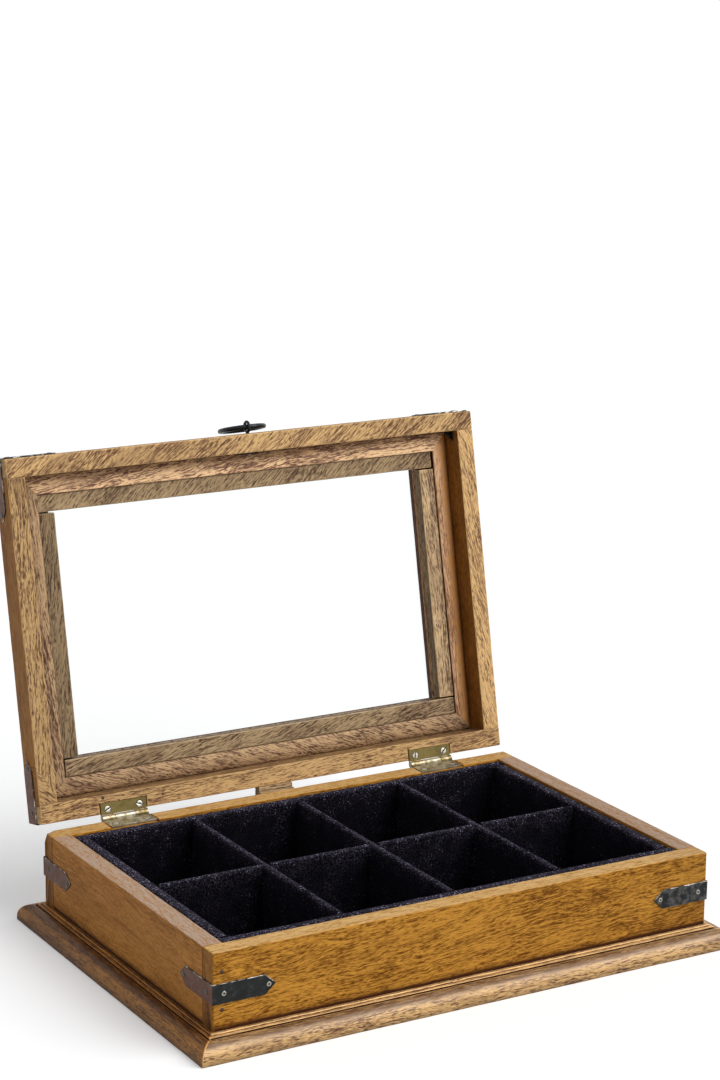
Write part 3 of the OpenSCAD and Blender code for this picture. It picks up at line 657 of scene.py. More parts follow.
def piece(
    name, shape, matrix, body, look, seed,
    wear=0.00008, wave=0.012, blocks=(), tint=None, grime=None, tone=None, chips=(), turn=("Z", 0), rub=0.9,
    caps=None,
):
    """Makes one piece from a local shape and places it. It replaces the node that it is named after.

    Blocks are cut away. The surface moves by wear over waves of one length, and chips are (centre,
    radius, depth). The grain turns by degrees about an axis. The three masks take the points and normals:
    tint for worn wood and painted light, the next for dark joints and painted shade, the last for a painted
    brightness of light and shade. Rub is the strength of rubbed outer edges with their painted highlight, and
    inner corners get painted shade. Caps names another material and the axis along which its faces look.
    """
    obj = built(name, *shape)
    cut(obj, blocks)
    mesh = obj.data
    local, facing = read(mesh), read(mesh, "normal")
    edge = convexity(mesh, local, facing)
    outer, inner = (np.clip((sign * edge - 0.04) * 9, 0, 1) for sign in (1, -1))
    axis, angle = turn
    spin = np.array(Matrix.Rotation(math.radians(angle), 3, axis))
    even = np.zeros(len(local))
    store(mesh, "grain", local @ spin.T + seed * np.array([0.377, 0.211, 0.137]))
    # rubbed outer edges, with their painted highlight
    store(mesh, "edge", rub * outer)
    store(mesh, "tint", tint(local, facing) if tint else even)
    # inner corners get painted shade, on top of the mask's dark joints and painted shade
    store(mesh, "grime", np.maximum(0.9 * inner, grime(local, facing) if grime else even))
    # the painted brightness of light and shade, less one
    store(mesh, "tone", tone(local, facing) - 1 if tone else even)
    field = rough_field(local, seed, wave) + 0.5 * rough_field(local, seed + 50, wave * 0.35)
    moved = local + facing * (wear * (field - 0.6))[:, None]
    for centre, radius, depth in chips:
        fall = np.clip(1 - np.linalg.norm((local - np.array(centre)) / radius, axis=1), 0, 1)
        moved = moved - facing * (depth * fall * fall * (3 - 2 * fall))[:, None]
    mesh.vertices.foreach_set("co", moved.ravel())
    capped = [bool(caps) and abs(face.normal[caps[1]]) > 0.8 for face in mesh.polygons]
    mesh.transform(matrix)
    mesh.shade_smooth()
    mesh.set_sharp_from_angle(angle=math.radians(38))
    mesh.materials.clear()
    mesh.materials.append(finish(look))
    if caps:
        mesh.materials.append(finish(caps[0]))
        mesh.polygons.foreach_set("material_index", [int(c) for c in capped])
    node = name.rsplit("_", 1)[0]
    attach(obj, body)
    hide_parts(node)
    next(s["material_slot"] for s in frame["record"]["subparts"] if s["node"] == node)


def repeated(name, item, places, body, look, nodes=()):
    """Copies a small shape to many places with Geometry Nodes and keeps the result as one object."""
    verts, faces, tint = item
    source = built(name + "_item", verts, faces)
    source.data.shade_smooth()
    store(source.data, "tint", tint)
    obj = built(name, [m.translation for m in places])
    store(obj.data, "turn", [tuple(m.to_euler()) for m in places])
    store(obj.data, "size", [m.to_scale().x for m in places])
    group = bpy.data.node_groups.new(name, "GeometryNodeTree")
    socket = group.interface.new_socket
    socket("Geometry", in_out="INPUT", socket_type="NodeSocketGeometry")
    look_in = socket("Material", in_out="INPUT", socket_type="NodeSocketMaterial")
    item_in = socket("Item", in_out="INPUT", socket_type="NodeSocketObject")
    socket("Geometry", in_out="OUTPUT", socket_type="NodeSocketGeometry")
    given, result = group.nodes.new("NodeGroupInput"), group.nodes.new("NodeGroupOutput")
    kinds = ("ObjectInfo", "InstanceOnPoints", "RealizeInstances", "SetMaterial")
    info, copies, real, dress = (group.nodes.new("GeometryNode" + kind) for kind in kinds)
    angles, size = (group.nodes.new("GeometryNodeInputNamedAttribute") for _ in range(2))
    angles.data_type, angles.inputs["Name"].default_value = "FLOAT_VECTOR", "turn"
    size.data_type, size.inputs["Name"].default_value = "FLOAT", "size"
    euler = group.nodes.new("FunctionNodeEulerToRotation")
    for start, output, end, target in (
        (given, "Item", info, "Object"),
        (given, "Geometry", copies, "Points"),
        (info, "Geometry", copies, "Instance"),
        (angles, "Attribute", euler, "Euler"),
        (euler, "Rotation", copies, "Rotation"),
        (size, "Attribute", copies, "Scale"),
        (copies, "Instances", real, "Geometry"),
        (real, "Geometry", dress, "Geometry"),
        (given, "Material", dress, "Material"),
        (dress, "Geometry", result, "Geometry"),
    ):
        group.links.new(start.outputs[output], end.inputs[target])
    modifier = obj.modifiers.new("copies", "NODES")
    modifier.node_group = group
    modifier[look_in.identifier], modifier[item_in.identifier] = finish(look), source
    bpy.context.view_layer.update()
    applied(obj)
    bpy.data.objects.remove(source)
    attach(obj, body)
    if nodes:
        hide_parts(*nodes)


def turned(profile, sides=16):
    """A solid turned about Z from (radius, height, tint) in millimetres, from the axis outward and back."""
    verts, faces, tint = [], [], []
    rings = []
    for radius, height, shade in profile:
        count = sides if radius > 0 else 1
        rings.append(range(len(verts), len(verts) + count))
        for k in range(count):
            a = 2 * math.pi * k / sides
            verts.append((radius * MM * math.cos(a), radius * MM * math.sin(a), height * MM))
            tint.append(shade)
    for low, high in zip(rings, rings[1:]):
        for k in range(sides):
            n = (k + 1) % sides
            if len(low) == 1:
                faces.append((low[0], high[k], high[n]))
            elif len(high) == 1:
                faces.append((low[k], high[0], low[n]))
            else:
                faces.append((low[k], high[k], high[n], low[n]))
    return verts, faces, tint


def screw(s):
    """A countersunk screw along Z with a slot along X. Its tint is 0 in the slot and at the rim: painted
    shade there.
    """
    head = SCREW_TOP + ((s.screw_head_r / MM, -0.05, 0),) + SCREW_SHANK
    obj = built("screw", *turned(head, 24)[:2])
    cut(obj, [box((-3 * MM, -s.slot_w / 2, -0.45 * MM), (3 * MM, s.slot_w / 2, MM))])
    found = read(obj.data)
    faces = [tuple(face.vertices) for face in obj.data.polygons]
    bpy.data.meshes.remove(obj.data)
    return found.tolist(), faces, (found[:, 2] > 0.02 * MM) * 1.0


def keep(nodes, look, bevel=0.0, edge=None):
    """Shows CAD nodes as they are, with a material and eased edges, which may have a finish of their own."""
    for name in nodes:
        obj = frame["nodes"][name]
        obj.data.materials.clear()
        obj.data.materials.append(finish(look))
        store(obj.data, "grain", read(obj.data))
        if bevel:
            weld = obj.modifiers.new("weld", "WELD")
            weld.merge_threshold = 0.01 * MM
            flat = obj.modifiers.new("flat", "DECIMATE")
            flat.decimate_type, flat.angle_limit = "DISSOLVE", math.radians(1)
            soft = obj.modifiers.new("bevel", "BEVEL")
            soft.width, soft.segments, soft.limit_method = bevel, 2, "ANGLE"
            soft.angle_limit = math.radians(40)
            if edge:
                obj.data.materials.append(finish(edge))
                soft.material, soft.use_clamp_overlap = 1, False
            obj.modifiers.new("normals", "WEIGHTED_NORMAL").keep_sharp = True


# Masks: each gives a value per point from the points and normals of a piece


def mask(amount, rule):
    """An amount times a rule's result, held between 0 and 1."""
    return lambda local, facing: amount * np.clip(rule(local, facing), 0, 1)


def ends(run, depth, amount):
    """Strongest at both ends of a bar: dark joints, seams, and the painted shadow in the beads' end gaps."""
    return mask(amount, lambda local, facing: 1 - (run / 2 - np.abs(local[:, ALONG])) / depth)


def near(axis, place, reach, amount):
    """Strongest at one place along an axis, fading over a reach."""
    return mask(amount, lambda local, facing: 1 - np.abs(local[:, axis] - place) / reach)


def above(height, reach, amount):
    """Grows with height over a reach."""
    return mask(amount, lambda local, facing: (local[:, HEIGHT] - height) / reach)


def looks(direction, amount=1.0, sharp=4.0):
    """Where a piece faces a direction."""
    return lambda local, facing: amount * np.clip(facing @ np.array(direction), 0, 1) ** sharp


def sloped(axis, places, values):
    """Runs from value to value along an axis."""
    return lambda local, facing: np.interp(local[:, axis], places, values)


def dim(value, direction=UP, left=1.0):
    """A painted brightness of light and shade, even over a piece, with less left on one face."""
    face = looks(direction, 1 - left)
    return lambda local, facing: value * (1 - face(local, facing))


def below(part, rest=0.0):
    """Keeps a mask's values where the shut lid looks down, and the rest elsewhere."""
    return lambda local, facing: rest + (part(local, facing) - rest) * np.clip(0.5 - 5 * facing[:, 2], 0, 1)


def tips(amount):
    """Faces that look along the bar, either way."""
    return most(looks((1, 0, 0), amount), looks((-1, 0, 0), amount))


def most(*parts):
    """The highest of some masks."""
    return lambda local, facing: np.max([part(local, facing) for part in parts], axis=0)


# Small shapes that are turned about their own axis: radius and height in millimetres, and tint, which paints
# the highlight ring of the nails and the bright top of the screws

PLUG = ((0, 0.04, 0), (1.1, 0.03, 0), (1.2, -0.3, 0), (0, -0.3, 0))
PIT = ((0, 0.03, 0), (0.6, 0.03, 0), (0.8, -0.2, 0), (0, -0.2, 0))
NAIL = (
    (0, 0.16, 0), (0.45, 0.17, 0), (0.75, 0.30, 0.55), (1.1, 0.34, 0.55), (1.32, 0.22, 0.3),
    (1.5, 0.02, 0), (0.6, -0.1, 0), (0.6, -5.0, 0), (0, -5.0, 0),
)
# the screw head: bright top, tint 0 at its rim as a painted shadow ring
SCREW_TOP = ((0, 0.12, 1), (1.0, 0.11, 1), (1.75, 0.05, 1), (1.95, 0, 0))
SCREW_SHANK = ((1.0, -1.2, 0), (1.0, -8.2, 0), (0, -8.2, 0))

# Places in millimetres: (x, z) on the front wall, (x, y, size) on the lid, (x, out, z) on the plinth
WALL_PLUGS = ((-145.3, 42.6), (-145.3, 22.7))
RAIL_PITS = ((-112.3, 92.0, 1.4), (-75.5, 95.5, 1.1), (-102.7, 94.7, 0.8))
PLINTH_DENTS = ((-115, 1.95, 11.8), (11, 1.95, 11.8), (27, 8, 8.5), (3, 9, 8))

TURNED_OVER = Matrix.Rotation(math.pi, 4, "X")

# How the screws' slots lie, in degrees, on the left and on the right hinge
SCREW_TURNS = {"box": ((-30, 110), (-30, 110)), "lid": ((25, -22), (76, 48))}


# The stage. The camera is solved from the photograph: its turns are azimuth, elevation and roll in
# degrees, its place is in metres, and its sensor and focal length are in millimetres.
FLOOR = ((-9, -9, 0), (9, -9, 0), (9, 30, 0), (-9, 30, 0))
SKY_LIGHT = 0.36
SUN_LIGHT, SUN_WIDTH, SUN_FALL = 2.7, 50, (-0.5, 0.55, -0.67)
CAMERA_TURN = (-30.255, 13.609, 0.508)
CAMERA_PLACE = (-0.73393, -1.24098, 0.57147)
SENSOR, FOCAL_LENGTH = 36, 93.04


# Pieces


def mortises(s, inner, low, high):
    """Blocks for the two hinge mortises, from behind the back face to an inner depth."""
    half = s.mortise_w / 2
    return [box((x - half, -MM, low), (x + half, inner, high)) for x in (-s.hinge_x, s.hinge_x)]


class TEABOX_OT_walls(Operator):
    """Build the four walls of the body and show the base panel"""

    bl_idname = "teabox.walls"
    bl_label = "Walls"

    def execute(self, context):
        s = context.scene.tea_box_sizes
        high, thick = s.body_h, s.wall_t
        profile = outline([
            (0, 0, 0.0004), (thick, 0, 0.0002), (thick, high, 0.0006),
            (0, high, s.edge_r), (0, s.plinth_h, 0),
        ])
        inner_d = s.body_d - 2 * thick
        notches = mortises(s, thick + MM, high - s.leaf_t, high + MM)
        for name, side in SIDES.items():
            long = side in LONG
            run = s.body_w if long else inner_d
            half = s.body_w / 2 - thick + s.base_rebate if long else run
            rebate = box((-half, thick - s.base_rebate, -MM), (half, thick + MM, s.base_top))
            piece(
                name + "_wall_wood", stick(profile, run, chamfer=0.0007 if long else 0.0002),
                inward(side, s.body_w, s.body_d), "box", "wood_front" if long else "wood_side", seed=1 + side,
                # rims: worn wood with painted light from above, their painted brightness set per side
                caps=("wood_side", ALONG) if long else None, rub=0.35, tint=looks(UP),
                tone=dim(1.0, UP, {FRONT: 0.9, RIGHT: 0.78, BACK: 0.78, LEFT: 0.87}[side]),
                blocks=[rebate] + (notches if side == BACK else []), turn=("Y", 4 if side == FRONT else -2),
                # dark joints at the ends, painted shade at the wall's foot above the plinth, and the front
                # wall darker towards its right end
                grime=most(
                    ends(run, 0.0005, 0.45), near(HEIGHT, s.plinth_h, 0.0030, 1.6),
                    sloped(ALONG, (0.10, 0.15), (0, 0.3 if side == FRONT else 0)),
                ),
                chips=[((s.body_w / 2, 0, high), 0.006, 0.0016)] if side == BACK else (),
            )
        face = Matrix.Rotation(math.pi / 2, 4, "X")
        holes = [Matrix.Translation((x * MM, -s.body_d / 2, z * MM)) @ face for x, z in WALL_PLUGS]
        repeated("wall_plugs", turned(PLUG), holes, "box", "plug")
        keep(["base_panel"], "wood_side", 0.0003)
        return {"FINISHED"}


class TEABOX_OT_plinth(Operator):
    """Build the mitred plinth moulding with its worn and chipped edges"""

    bl_idname = "teabox.plinth"
    bl_label = "Plinth"

    def execute(self, context):
        s = context.scene.tea_box_sizes
        high, shelf = s.plinth_h, 2 * s.fillet_w
        roll_x = shelf + s.groove_w
        roll = min(s.plinth_out - roll_x + s.groove_w, high - 2 * s.fillet_step - s.plinth_edge)
        middle = (s.plinth_out - roll, s.plinth_edge)
        turn = math.acos((roll_x - middle[0]) / roll)
        groove = s.plinth_edge + roll - s.groove_w
        profile = outline([
            (0, 0, 0), (s.plinth_out, 0, 0.0003), (s.plinth_out, s.plinth_edge, 0),
            *arc(middle, roll, 0, turn, 14, range(1, 15)), (roll_x, groove, 0), (shelf, groove, 0),
            (shelf, high - s.fillet_step, 0.0003), (s.fillet_w, high - s.fillet_step, 0),
            (s.fillet_w, high, 0.0003), (0, high, 0),
        ], 0.0012)
        dents = [(Vector(place) * MM, 0.0035, 0.0007) for place in PLINTH_DENTS]
        for name, side in SIDES.items():
            # dull marks the left plinth: darker wood and darker brightness, painted shade on the side turned
            # from the light
            dull, front = side == LEFT, side == FRONT
            roll_top = above(0.0068, 0.002, 0.65 if dull else 0.6)
            piece(
                name + "_plinth_wood",
                stick(profile, s.body_w if side in LONG else s.body_d, grow=1, step=0.002),
                outward(side, s.body_w, s.body_d),
                "box", "wood_low" if dull else "wood_plinth", seed=11 + side,
                # front plinth: a painted highlight on the roll's top
                wear=0.00012, tint=looks((0, 0.55, 0.83), 0.6, 14) if front else None,
                # painted shade at the wall, in the groove and at the floor, and a darker band on the roll's
                # top
                grime=most(
                    near(DEPTH, 0, 0.0011, 1.1), near(DEPTH, shelf, 0.0006, 0.9),
                    near(HEIGHT, 0, 0.0009, 0.9),
                    lambda local, facing: roll_top(local, facing) * (local[:, DEPTH] > shelf),
                ),
                # painted light and shade: darker towards the bottom, the left plinth darker all over
                tone=sloped(
                    HEIGHT, (0, 2.3 * MM, 2.5 * MM, 6 * MM, 9 * MM),
                    (0.45, 0.55, 0.65, 0.85, 1.1) if dull else (0.6, 0.7, 0.85, 1.0, 1.15),
                ),
                chips=dents if front else (),
            )
        return {"FINISHED"}


class TEABOX_OT_insert(Operator):
    """Build the velvet insert: floor, outer walls and halved dividers"""

    bl_idname = "teabox.insert"
    bl_label = "Velvet insert"

    def board(self, node, profile, run, place, seed, tint, blocks=()):
        """One board of the insert, covered with velvet."""
        piece(
            node + "_velvet", stick(profile, run, step=0.0018), place, "box", "velvet", seed,
            wear=0.0002, wave=0.006, blocks=blocks, tint=tint,
        )

    def execute(self, context):
        s = context.scene.tea_box_sizes
        tray_w, tray_d = (size - 2 * s.wall_t - 2 * s.tray_gap for size in (s.body_w, s.body_d))
        inner_w, inner_d = tray_w - 2 * s.tray_t, tray_d - 2 * s.tray_t
        floor = s.base_top + s.tray_floor_t
        high = s.tray_top - floor
        profile = outline([(0, 0, 0), (s.tray_t, 0, 0), (s.tray_t, high, 0.0026), (0, high, 0.0026)], 0.0018)
        # painted sheen on the faces that look up, with brushed pile there
        nap = looks(UP, 1.0, 2)
        for name, side in SIDES.items():
            inner = inner_w if side in LONG else inner_d
            seams = [near(ALONG, x, 0.0012, 0.5) for x in (-inner / 2, inner / 2)]
            # lighter towards the top, brushed pile with painted sheen, and at the seams in the corners
            tint = most(nap, above(high - 0.009, 0.009, 0.32), *seams)
            place = inward(side, tray_w, tray_d, floor)
            self.board("tray_" + name, profile, tray_w if side in LONG else inner_d, place, 21 + side, tint)
        high, t = s.divider_top - floor, s.divider_t
        half, top_r = t / 2, t * 0.48
        profile = outline([(-half, 0, 0), (half, 0, 0), (half, high, top_r), (-half, high, top_r)], 0.0018)
        pitch = (inner_w + t) / 4
        play = half + 0.1 * MM
        reach = 10 * MM
        # the dividers lighter towards their tops, brushed pile with painted sheen
        nap = most(nap, above(high - reach, reach, 0.36))
        crossings = (-pitch, 0, pitch)
        notches = [box((x - play, -reach, high / 2), (x + play, reach, high + reach)) for x in crossings]
        seams = [near(ALONG, x + side * t / 2, 0.0012, 0.5) for x in crossings for side in (-1, 1)]
        place = Matrix.Translation((0, 0, floor))
        self.board("long_divider", profile, inner_w, place, 31, most(nap, *seams), notches)
        notches = [box((-play, -reach, -reach), (play, reach, high / 2))]
        seams = [near(ALONG, side * t / 2, 0.0012, 0.5) for side in (-1, 1)]
        tint = most(nap, *seams, ends(inner_d, 0.0012, 0.5))
        for k, name in enumerate(("left", "middle", "right")):
            place = Matrix.Translation(((k - 1) * pitch, 0, floor)) @ Matrix.Rotation(math.pi / 2, 4, "Z")
            self.board("cross_divider_" + name, profile, inner_d, place, 32 + k, tint, notches)
        keep(["tray_floor"], "velvet", 0.0003)
        return {"FINISHED"}


class TEABOX_OT_rails(Operator):
    """Build the lid's rails and the slanted repair patch"""

    bl_idname = "teabox.rails"
    bl_label = "Lid rails"

    def execute(self, context):
        s = context.scene.tea_box_sizes
        thick, high = s.rail_t, s.lid_h
        profile = outline([(0, 0, s.edge_r), (thick, 0, 0.0005), (thick, high, 0.0003), (0, high, s.edge_r)])
        notches = mortises(s, s.mortise_in, -MM, s.leaf_t)
        short = s.body_d - 2 * thick
        pose = opened(s)
        for side, name in ((FRONT, "front"), (BACK, "back"), (RIGHT, "right")):
            run = s.body_w if side in LONG else short
            piece(
                "lid_" + name + "_rail_wood", stick(profile, run, chamfer=0.0006 if side in LONG else 0.0002),
                pose @ inward(side, s.body_w, s.body_d, s.lid_z), "lid", "wood_lid", seed=41 + side, rub=0.5,
                blocks=notches if side == BACK else [], turn=("Z", {FRONT: 38, RIGHT: 14, BACK: 3}[side]),
                # dark joints, darker end grain, stain with painted shade on the inner faces, painted shade on
                # the outer faces and along the inner edge
                grime=most(
                    ends(run, 0.0005, 0.5), looks(INNER, 0.5), looks(OUTER, 0.25),
                    tips(0.3), near(DEPTH, thick, 0.0008, 0.5),
                ),
                # painted light and shade per rail and on the inner face
                tone=dim({FRONT: 1.0, RIGHT: 1.1, BACK: 0.98}[side], INNER, {RIGHT: 0.95}.get(side, 1.0)),
                caps=None if side in LONG else ("wood_side", DEPTH),
            )
        end = -short / 2
        slope = (s.patch_inner - s.patch_outer) / thick * MM
        outer, inner = end + s.patch_outer - slope, end + s.patch_inner + slope
        patch = [(end - MM, -MM), (outer, -MM), (inner, thick + MM), (end - MM, thick + MM)]
        outer, inner = outer - s.patch_gap, inner - s.patch_gap
        rest = [(outer, -MM), (-end + MM, -MM), (-end + MM, thick + MM), (inner, thick + MM)]
        pieces = (("rail", patch, 45, -3, []), ("patch", rest, 49, 55, [tips(0.9)]))
        for name, away, seed, turn, cuts in pieces:
            piece(
                "lid_left_" + name + "_wood", stick(profile, short, chamfer=0.0002),
                pose @ inward(LEFT, s.body_w, s.body_d, s.lid_z), "lid", "wood_lid", seed=seed, rub=0.5,
                # painted shade: the left rails darker all over and on their inner and outer faces; dark
                # joints at the ends and at the patch
                turn=("Z", turn), blocks=[(away, -MM, high + MM)], tone=dim(0.82), caps=("wood_side", DEPTH),
                grime=most(ends(short, 0.0005, 0.5), looks(INNER, 0.5), looks(OUTER, 0.3), *cuts),
            )
        return {"FINISHED"}


class TEABOX_OT_mouldings(Operator):
    """Build the mitred mouldings that hold the glass"""

    bl_idname = "teabox.mouldings"
    bl_label = "Lid mouldings"

    def execute(self, context):
        s = context.scene.tea_box_sizes
        low_rail, low_bead = s.lid_h - s.back_drop, s.lid_h - s.back_low
        rebate = s.moulding_w - s.bead_w
        rise = low_rail - low_bead
        chord = math.hypot(rebate, rise)
        reach = math.sqrt(s.back_r**2 - chord**2 / 4)
        x, y = rebate / 2 + reach * rise / chord, (low_rail + low_bead) / 2 + reach * rebate / chord
        start = math.atan2(low_rail - y, -x)
        sweep = math.atan2(low_bead - y, rebate - x) - start
        lip = s.bead_z - s.lid_z + s.bead_h + s.glass_t
        crest = s.lid_h + s.crest_h
        edge = s.moulding_w - s.crest_fillet
        roll_x = edge - s.crest_fillet - s.crest_groove
        middle = (roll_x, crest - s.roll_r)
        turn = math.acos((s.lid_h - middle[1]) / s.roll_r)
        profile = outline([
            *arc((x, y), s.back_r, start, sweep, 9, range(9)),
            (rebate, low_bead, 0.0005), (rebate, lip, 0), (s.moulding_w, lip, 0.0003),
            (s.moulding_w, crest - s.crest_step, 0.0004), (edge, crest - s.crest_step, 0.0003),
            (edge, crest - s.crest_low, 0), (roll_x, crest - s.crest_low, 0),
            *arc(middle, s.roll_r, math.pi / 2, turn, 12, range(13)), (0, s.lid_h, 0),
        ], 0.0018)
        frame_w, frame_d = s.body_w - 2 * s.rail_t, s.body_d - 2 * s.rail_t
        for name, side in SIDES.items():
            warm = side == RIGHT
            piece(
                "lid_" + name + "_moulding_wood",
                stick(profile, frame_w if side in LONG else frame_d, grow=-1),
                opened(s) @ inward(side, frame_w, frame_d, s.lid_z),
                "lid", "wood_warm" if warm else "wood_moulding", seed=51 + side,
                wear=0.00005, turn=("Z", {FRONT: 8, RIGHT: 0, BACK: -22, LEFT: 5}[side]), rub=0.4,
                # painted shade on the rebate's faces, at the rail and at the bead, and wider beside the rail
                grime=most(
                    looks(INNER, 0.96), near(DEPTH, 0, 0.0012, 0.8), near(DEPTH, rebate, 0.0008, 0.7),
                    near(DEPTH, 0, 0.004, 0.35 if warm else 0.2),
                ),
                tint=below(near(DEPTH, 0, 0.011, 1.1)) if warm else None,
                # painted light and shade per side, on the faces under the shut lid
                tone=below(dim({FRONT: 1.95, RIGHT: 1.5, BACK: 0.98, LEFT: 0.82}[side]), 1.0),
            )
        return {"FINISHED"}


class TEABOX_OT_glazing(Operator):
    """Build the glazing beads and show the pane"""

    bl_idname = "teabox.glazing"
    bl_label = "Glazing"

    def execute(self, context):
        s = context.scene.tea_box_sizes
        margin = 2 * (s.rail_t + s.moulding_w - s.bead_w)
        wide, deep = s.body_w - margin, s.body_d - margin
        side_run = deep - 2 * s.bead_w - s.bead_short
        out, high = s.bead_w, s.bead_h
        profile = outline([(0, 0, 0.0003), (out, 0, 0.0008), (out, high, 0.0002), (0, high, 0.0002)])
        for name, side in SIDES.items():
            long = side in LONG
            run = wide - s.bead_play if long else side_run
            aside = Matrix.Translation((-s.bead_play / 2 if long else 0, 0, 0))
            place = opened(s) @ inward(side, wide, deep, s.bead_z) @ aside
            piece(
                name + "_bead_wood", stick(profile, run), place, "lid", "wood_bead", seed=61 + side, rub=0.7,
                turn=("Z", {FRONT: 42, RIGHT: 4, BACK: 16, LEFT: -10}[side]),
                # painted shadow in the gaps at the bead ends, and painted shade on the inner side and beside
                # the moulding
                grime=most(ends(run, 0.001, 0.8), looks(INNER, 0.35), near(DEPTH, 0, 0.0006, 0.7)),
                # painted light and shade per side and on the inner side
                tone=dim({FRONT: 0.9, RIGHT: 1.45, BACK: 0.88, LEFT: 0.6}[side], INNER, 0.5),
            )
        keep(["glass_pane"], "glass")
        return {"FINISHED"}


class TEABOX_OT_metalwork(Operator):
    """Show the straps, nails, hinges, screws and ring pull with their metals"""

    bl_idname = "teabox.metalwork"
    bl_label = "Metalwork"

    def execute(self, context):
        s = context.scene.tea_box_sizes
        corners = [a + "_" + b for a in ("front", "back") for b in ("left", "right")]
        levels = {"box": s.body_h - s.strap_down, "lid": s.lid_z + s.strap_up}
        screws = {"box": (s.box_screw_in, s.body_h, Matrix()), "lid": (s.lid_screw_in, s.lid_z, TURNED_OVER)}
        poses = {"box": Matrix(), "lid": opened(s)}
        head, screw_item = turned(NAIL), screw(s)
        face = Matrix.Rotation(-math.pi / 2, 4, "X")
        for part, pose in poses.items():
            # the straps' bevelled edges: bare iron with a painted highlight
            keep([part + "_strap_" + c for c in corners], "iron", 0.0003, "iron_edge")
            places = []
            for side in SIDES.values():
                half = (s.body_w if side in LONG else s.body_d) / 2
                for x in (half - s.nail_near, half - s.nail_far):
                    for hand in (-1, 1):
                        lifted = part == "box" and (side, hand) in ((BACK, -1), (LEFT, 1))
                        level = levels[part] + (s.strap_lift if lifted else 0)
                        nail = Matrix.Translation((hand * x, s.strap_t, level))
                        places.append(pose @ outward(side, s.body_w, s.body_d) @ nail @ face)
            repeated(part + "_nails", head, places, part, "nail", [part + "_strap_nails"])
        for part, (depth, level, over) in screws.items():
            places = []
            for side, pair in zip((-1, 1), SCREW_TURNS[part]):
                for hand, angle in zip((-1, 1), pair):
                    x = side * s.hinge_x + hand * s.screw_pitch / 2
                    spin = Matrix.Rotation(math.radians(angle), 4, "Z")
                    place = Matrix.Translation((x, s.body_d / 2 - depth, level))
                    places.append(poses[part] @ place @ over @ spin)
            nodes = [part + "_hinge_screws"]
            repeated(part + "_screws", screw_item, places, part, "nail", nodes)
        places = [
            poses["lid"] @ Matrix.Translation((x * MM, y * MM, s.lid_z)) @ TURNED_OVER @ Matrix.Scale(size, 4)
            for x, y, size in RAIL_PITS
        ]
        repeated("rail_pits", turned(PIT, 9), places, "lid", "plug")
        for nodes, look, bevel in (
            (["left_hinge_box_leaf", "right_hinge_box_leaf"], "leaf", 0.00012),
            (["left_hinge_lid_leaf", "right_hinge_lid_leaf"], "brass", 0.00012),
            (["left_hinge_pin", "right_hinge_pin"], "steel", 0.0),
            (["pull_pin", "pull_ring"], "wire", 0.0),
            (["box_stop", "lid_stop"], "wood_bead", 0.0004),
        ):
            keep(nodes, look, bevel)
        return {"FINISHED"}


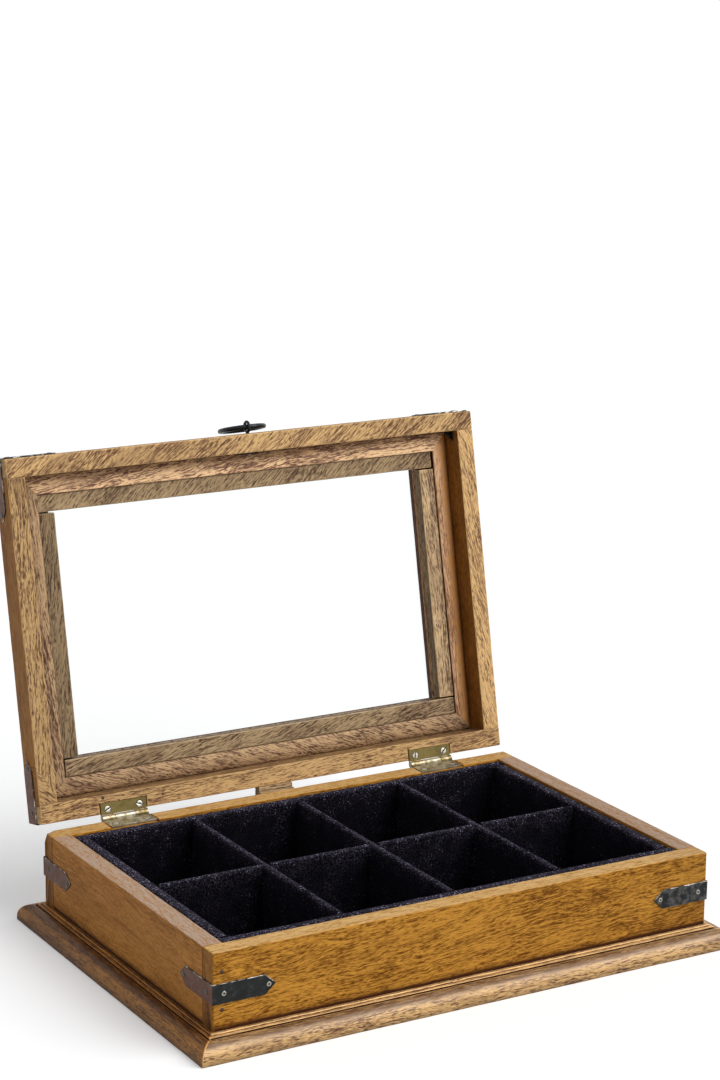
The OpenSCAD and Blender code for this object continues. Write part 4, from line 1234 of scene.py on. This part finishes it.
class TEABOX_OT_stage(Operator):
    """Set up the floor, the backdrop, the lights and the camera of the photograph"""

    bl_idname = "teabox.stage"
    bl_label = "Stage"

    def seen(self, tree):
        """1 for what the camera, a reflection or a clear pane shows, else 0."""
        path = tree.nodes.new("ShaderNodeLightPath")
        found = Sock(tree, path.outputs["Is Camera Ray"])
        for name in ("Is Glossy Ray", "Is Transmission Ray"):
            found = found.maths("MAXIMUM", Sock(tree, path.outputs[name]))
        return found

    def execute(self, context):
        scene = context.scene
        grey = (*scene.tea_box_colours.backdrop, 1)
        floor = built("floor", FLOOR, [(0, 1, 2, 3)])
        plain, tree, shader = material(
            "backdrop", {"Base Color": grey, "Roughness": 1, "Specular IOR Level": 0}
        )
        glow = make(tree, "ShaderNodeEmission", (1, 1, 1, 1), self.seen(tree) * 0.3)
        surface(tree, make(tree, "ShaderNodeAddShader", Sock(tree, shader.outputs[0]), glow))
        floor.data.materials.append(plain)
        world = bpy.data.worlds.new("studio")
        scene.world = world
        world.use_nodes = True
        tree = world.node_tree
        tree.nodes.clear()
        soft = make(tree, "ShaderNodeBackground", (0.95, 0.97, 1, 1), SKY_LIGHT)
        white = make(tree, "ShaderNodeBackground", (1, 1, 1, 1), 1.0)
        mixed = make(tree, "ShaderNodeMixShader", self.seen(tree), soft, white)
        out = tree.nodes.new("ShaderNodeOutputWorld")
        tree.links.new(mixed.out, out.inputs["Surface"])
        lamp = bpy.data.lights.new("key", "SUN")
        lamp.angle, lamp.energy = math.radians(SUN_WIDTH), SUN_LIGHT
        light = bpy.data.objects.new("key", lamp)
        light.rotation_euler = Vector(SUN_FALL).to_track_quat("-Z", "Y").to_euler()
        scene.collection.objects.link(light)
        azimuth, elevation, roll = (math.radians(a) for a in CAMERA_TURN)
        level = math.cos(elevation)
        back = Vector((math.sin(azimuth) * level, -math.cos(azimuth) * level, math.sin(elevation)))
        right = (-back).cross(Vector(UP)).normalized()
        up = back.cross(right)
        across = math.cos(roll) * right + math.sin(roll) * up
        up = math.cos(roll) * up - math.sin(roll) * right
        lens = bpy.data.cameras.new("camera")
        lens.sensor_width, lens.lens, lens.clip_start = SENSOR, FOCAL_LENGTH, 0.05
        camera = bpy.data.objects.new("camera", lens)
        axes = Matrix((across, up, back)).transposed().to_4x4()
        camera.matrix_world = Matrix.Translation(CAMERA_PLACE) @ axes
        scene.collection.objects.link(camera)
        scene.camera = camera
        scene.view_settings.view_transform = "Standard"
        return {"FINISHED"}


OPERATORS = (
    TEABOX_OT_walls, TEABOX_OT_plinth, TEABOX_OT_insert, TEABOX_OT_rails, TEABOX_OT_mouldings,
    TEABOX_OT_glazing, TEABOX_OT_metalwork, TEABOX_OT_stage,
)


class TEABOX_PT_panel(Panel):
    """Sizes, colours and the steps of the tea box"""

    bl_label = "Tea Box"
    bl_idname = "TEABOX_PT_panel"
    bl_space_type = "VIEW_3D"
    bl_region_type = "UI"
    bl_category = "Tea Box"

    def draw(self, context):
        for group in (context.scene.tea_box_sizes, context.scene.tea_box_colours):
            for key in type(group).__annotations__:
                self.layout.prop(group, key)
        for operator in OPERATORS:
            self.layout.operator(operator.bl_idname)


CLASSES = (TeaBoxSizes, TeaBoxColours, *OPERATORS, TEABOX_PT_panel)


def register():
    for cls in CLASSES:
        bpy.utils.register_class(cls)
    bpy.types.Scene.tea_box_sizes = PointerProperty(type=TeaBoxSizes)
    bpy.types.Scene.tea_box_colours = PointerProperty(type=TeaBoxColours)


def unregister():
    del bpy.types.Scene.tea_box_colours
    del bpy.types.Scene.tea_box_sizes
    for cls in reversed(CLASSES):
        bpy.utils.unregister_class(cls)


def main():
    register()
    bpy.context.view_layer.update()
    for operator in OPERATORS:
        group, name = operator.bl_idname.split(".")
        getattr(getattr(bpy.ops, group), name)()
    bpy.context.view_layer.update()


if __name__ == "__main__":
    main()
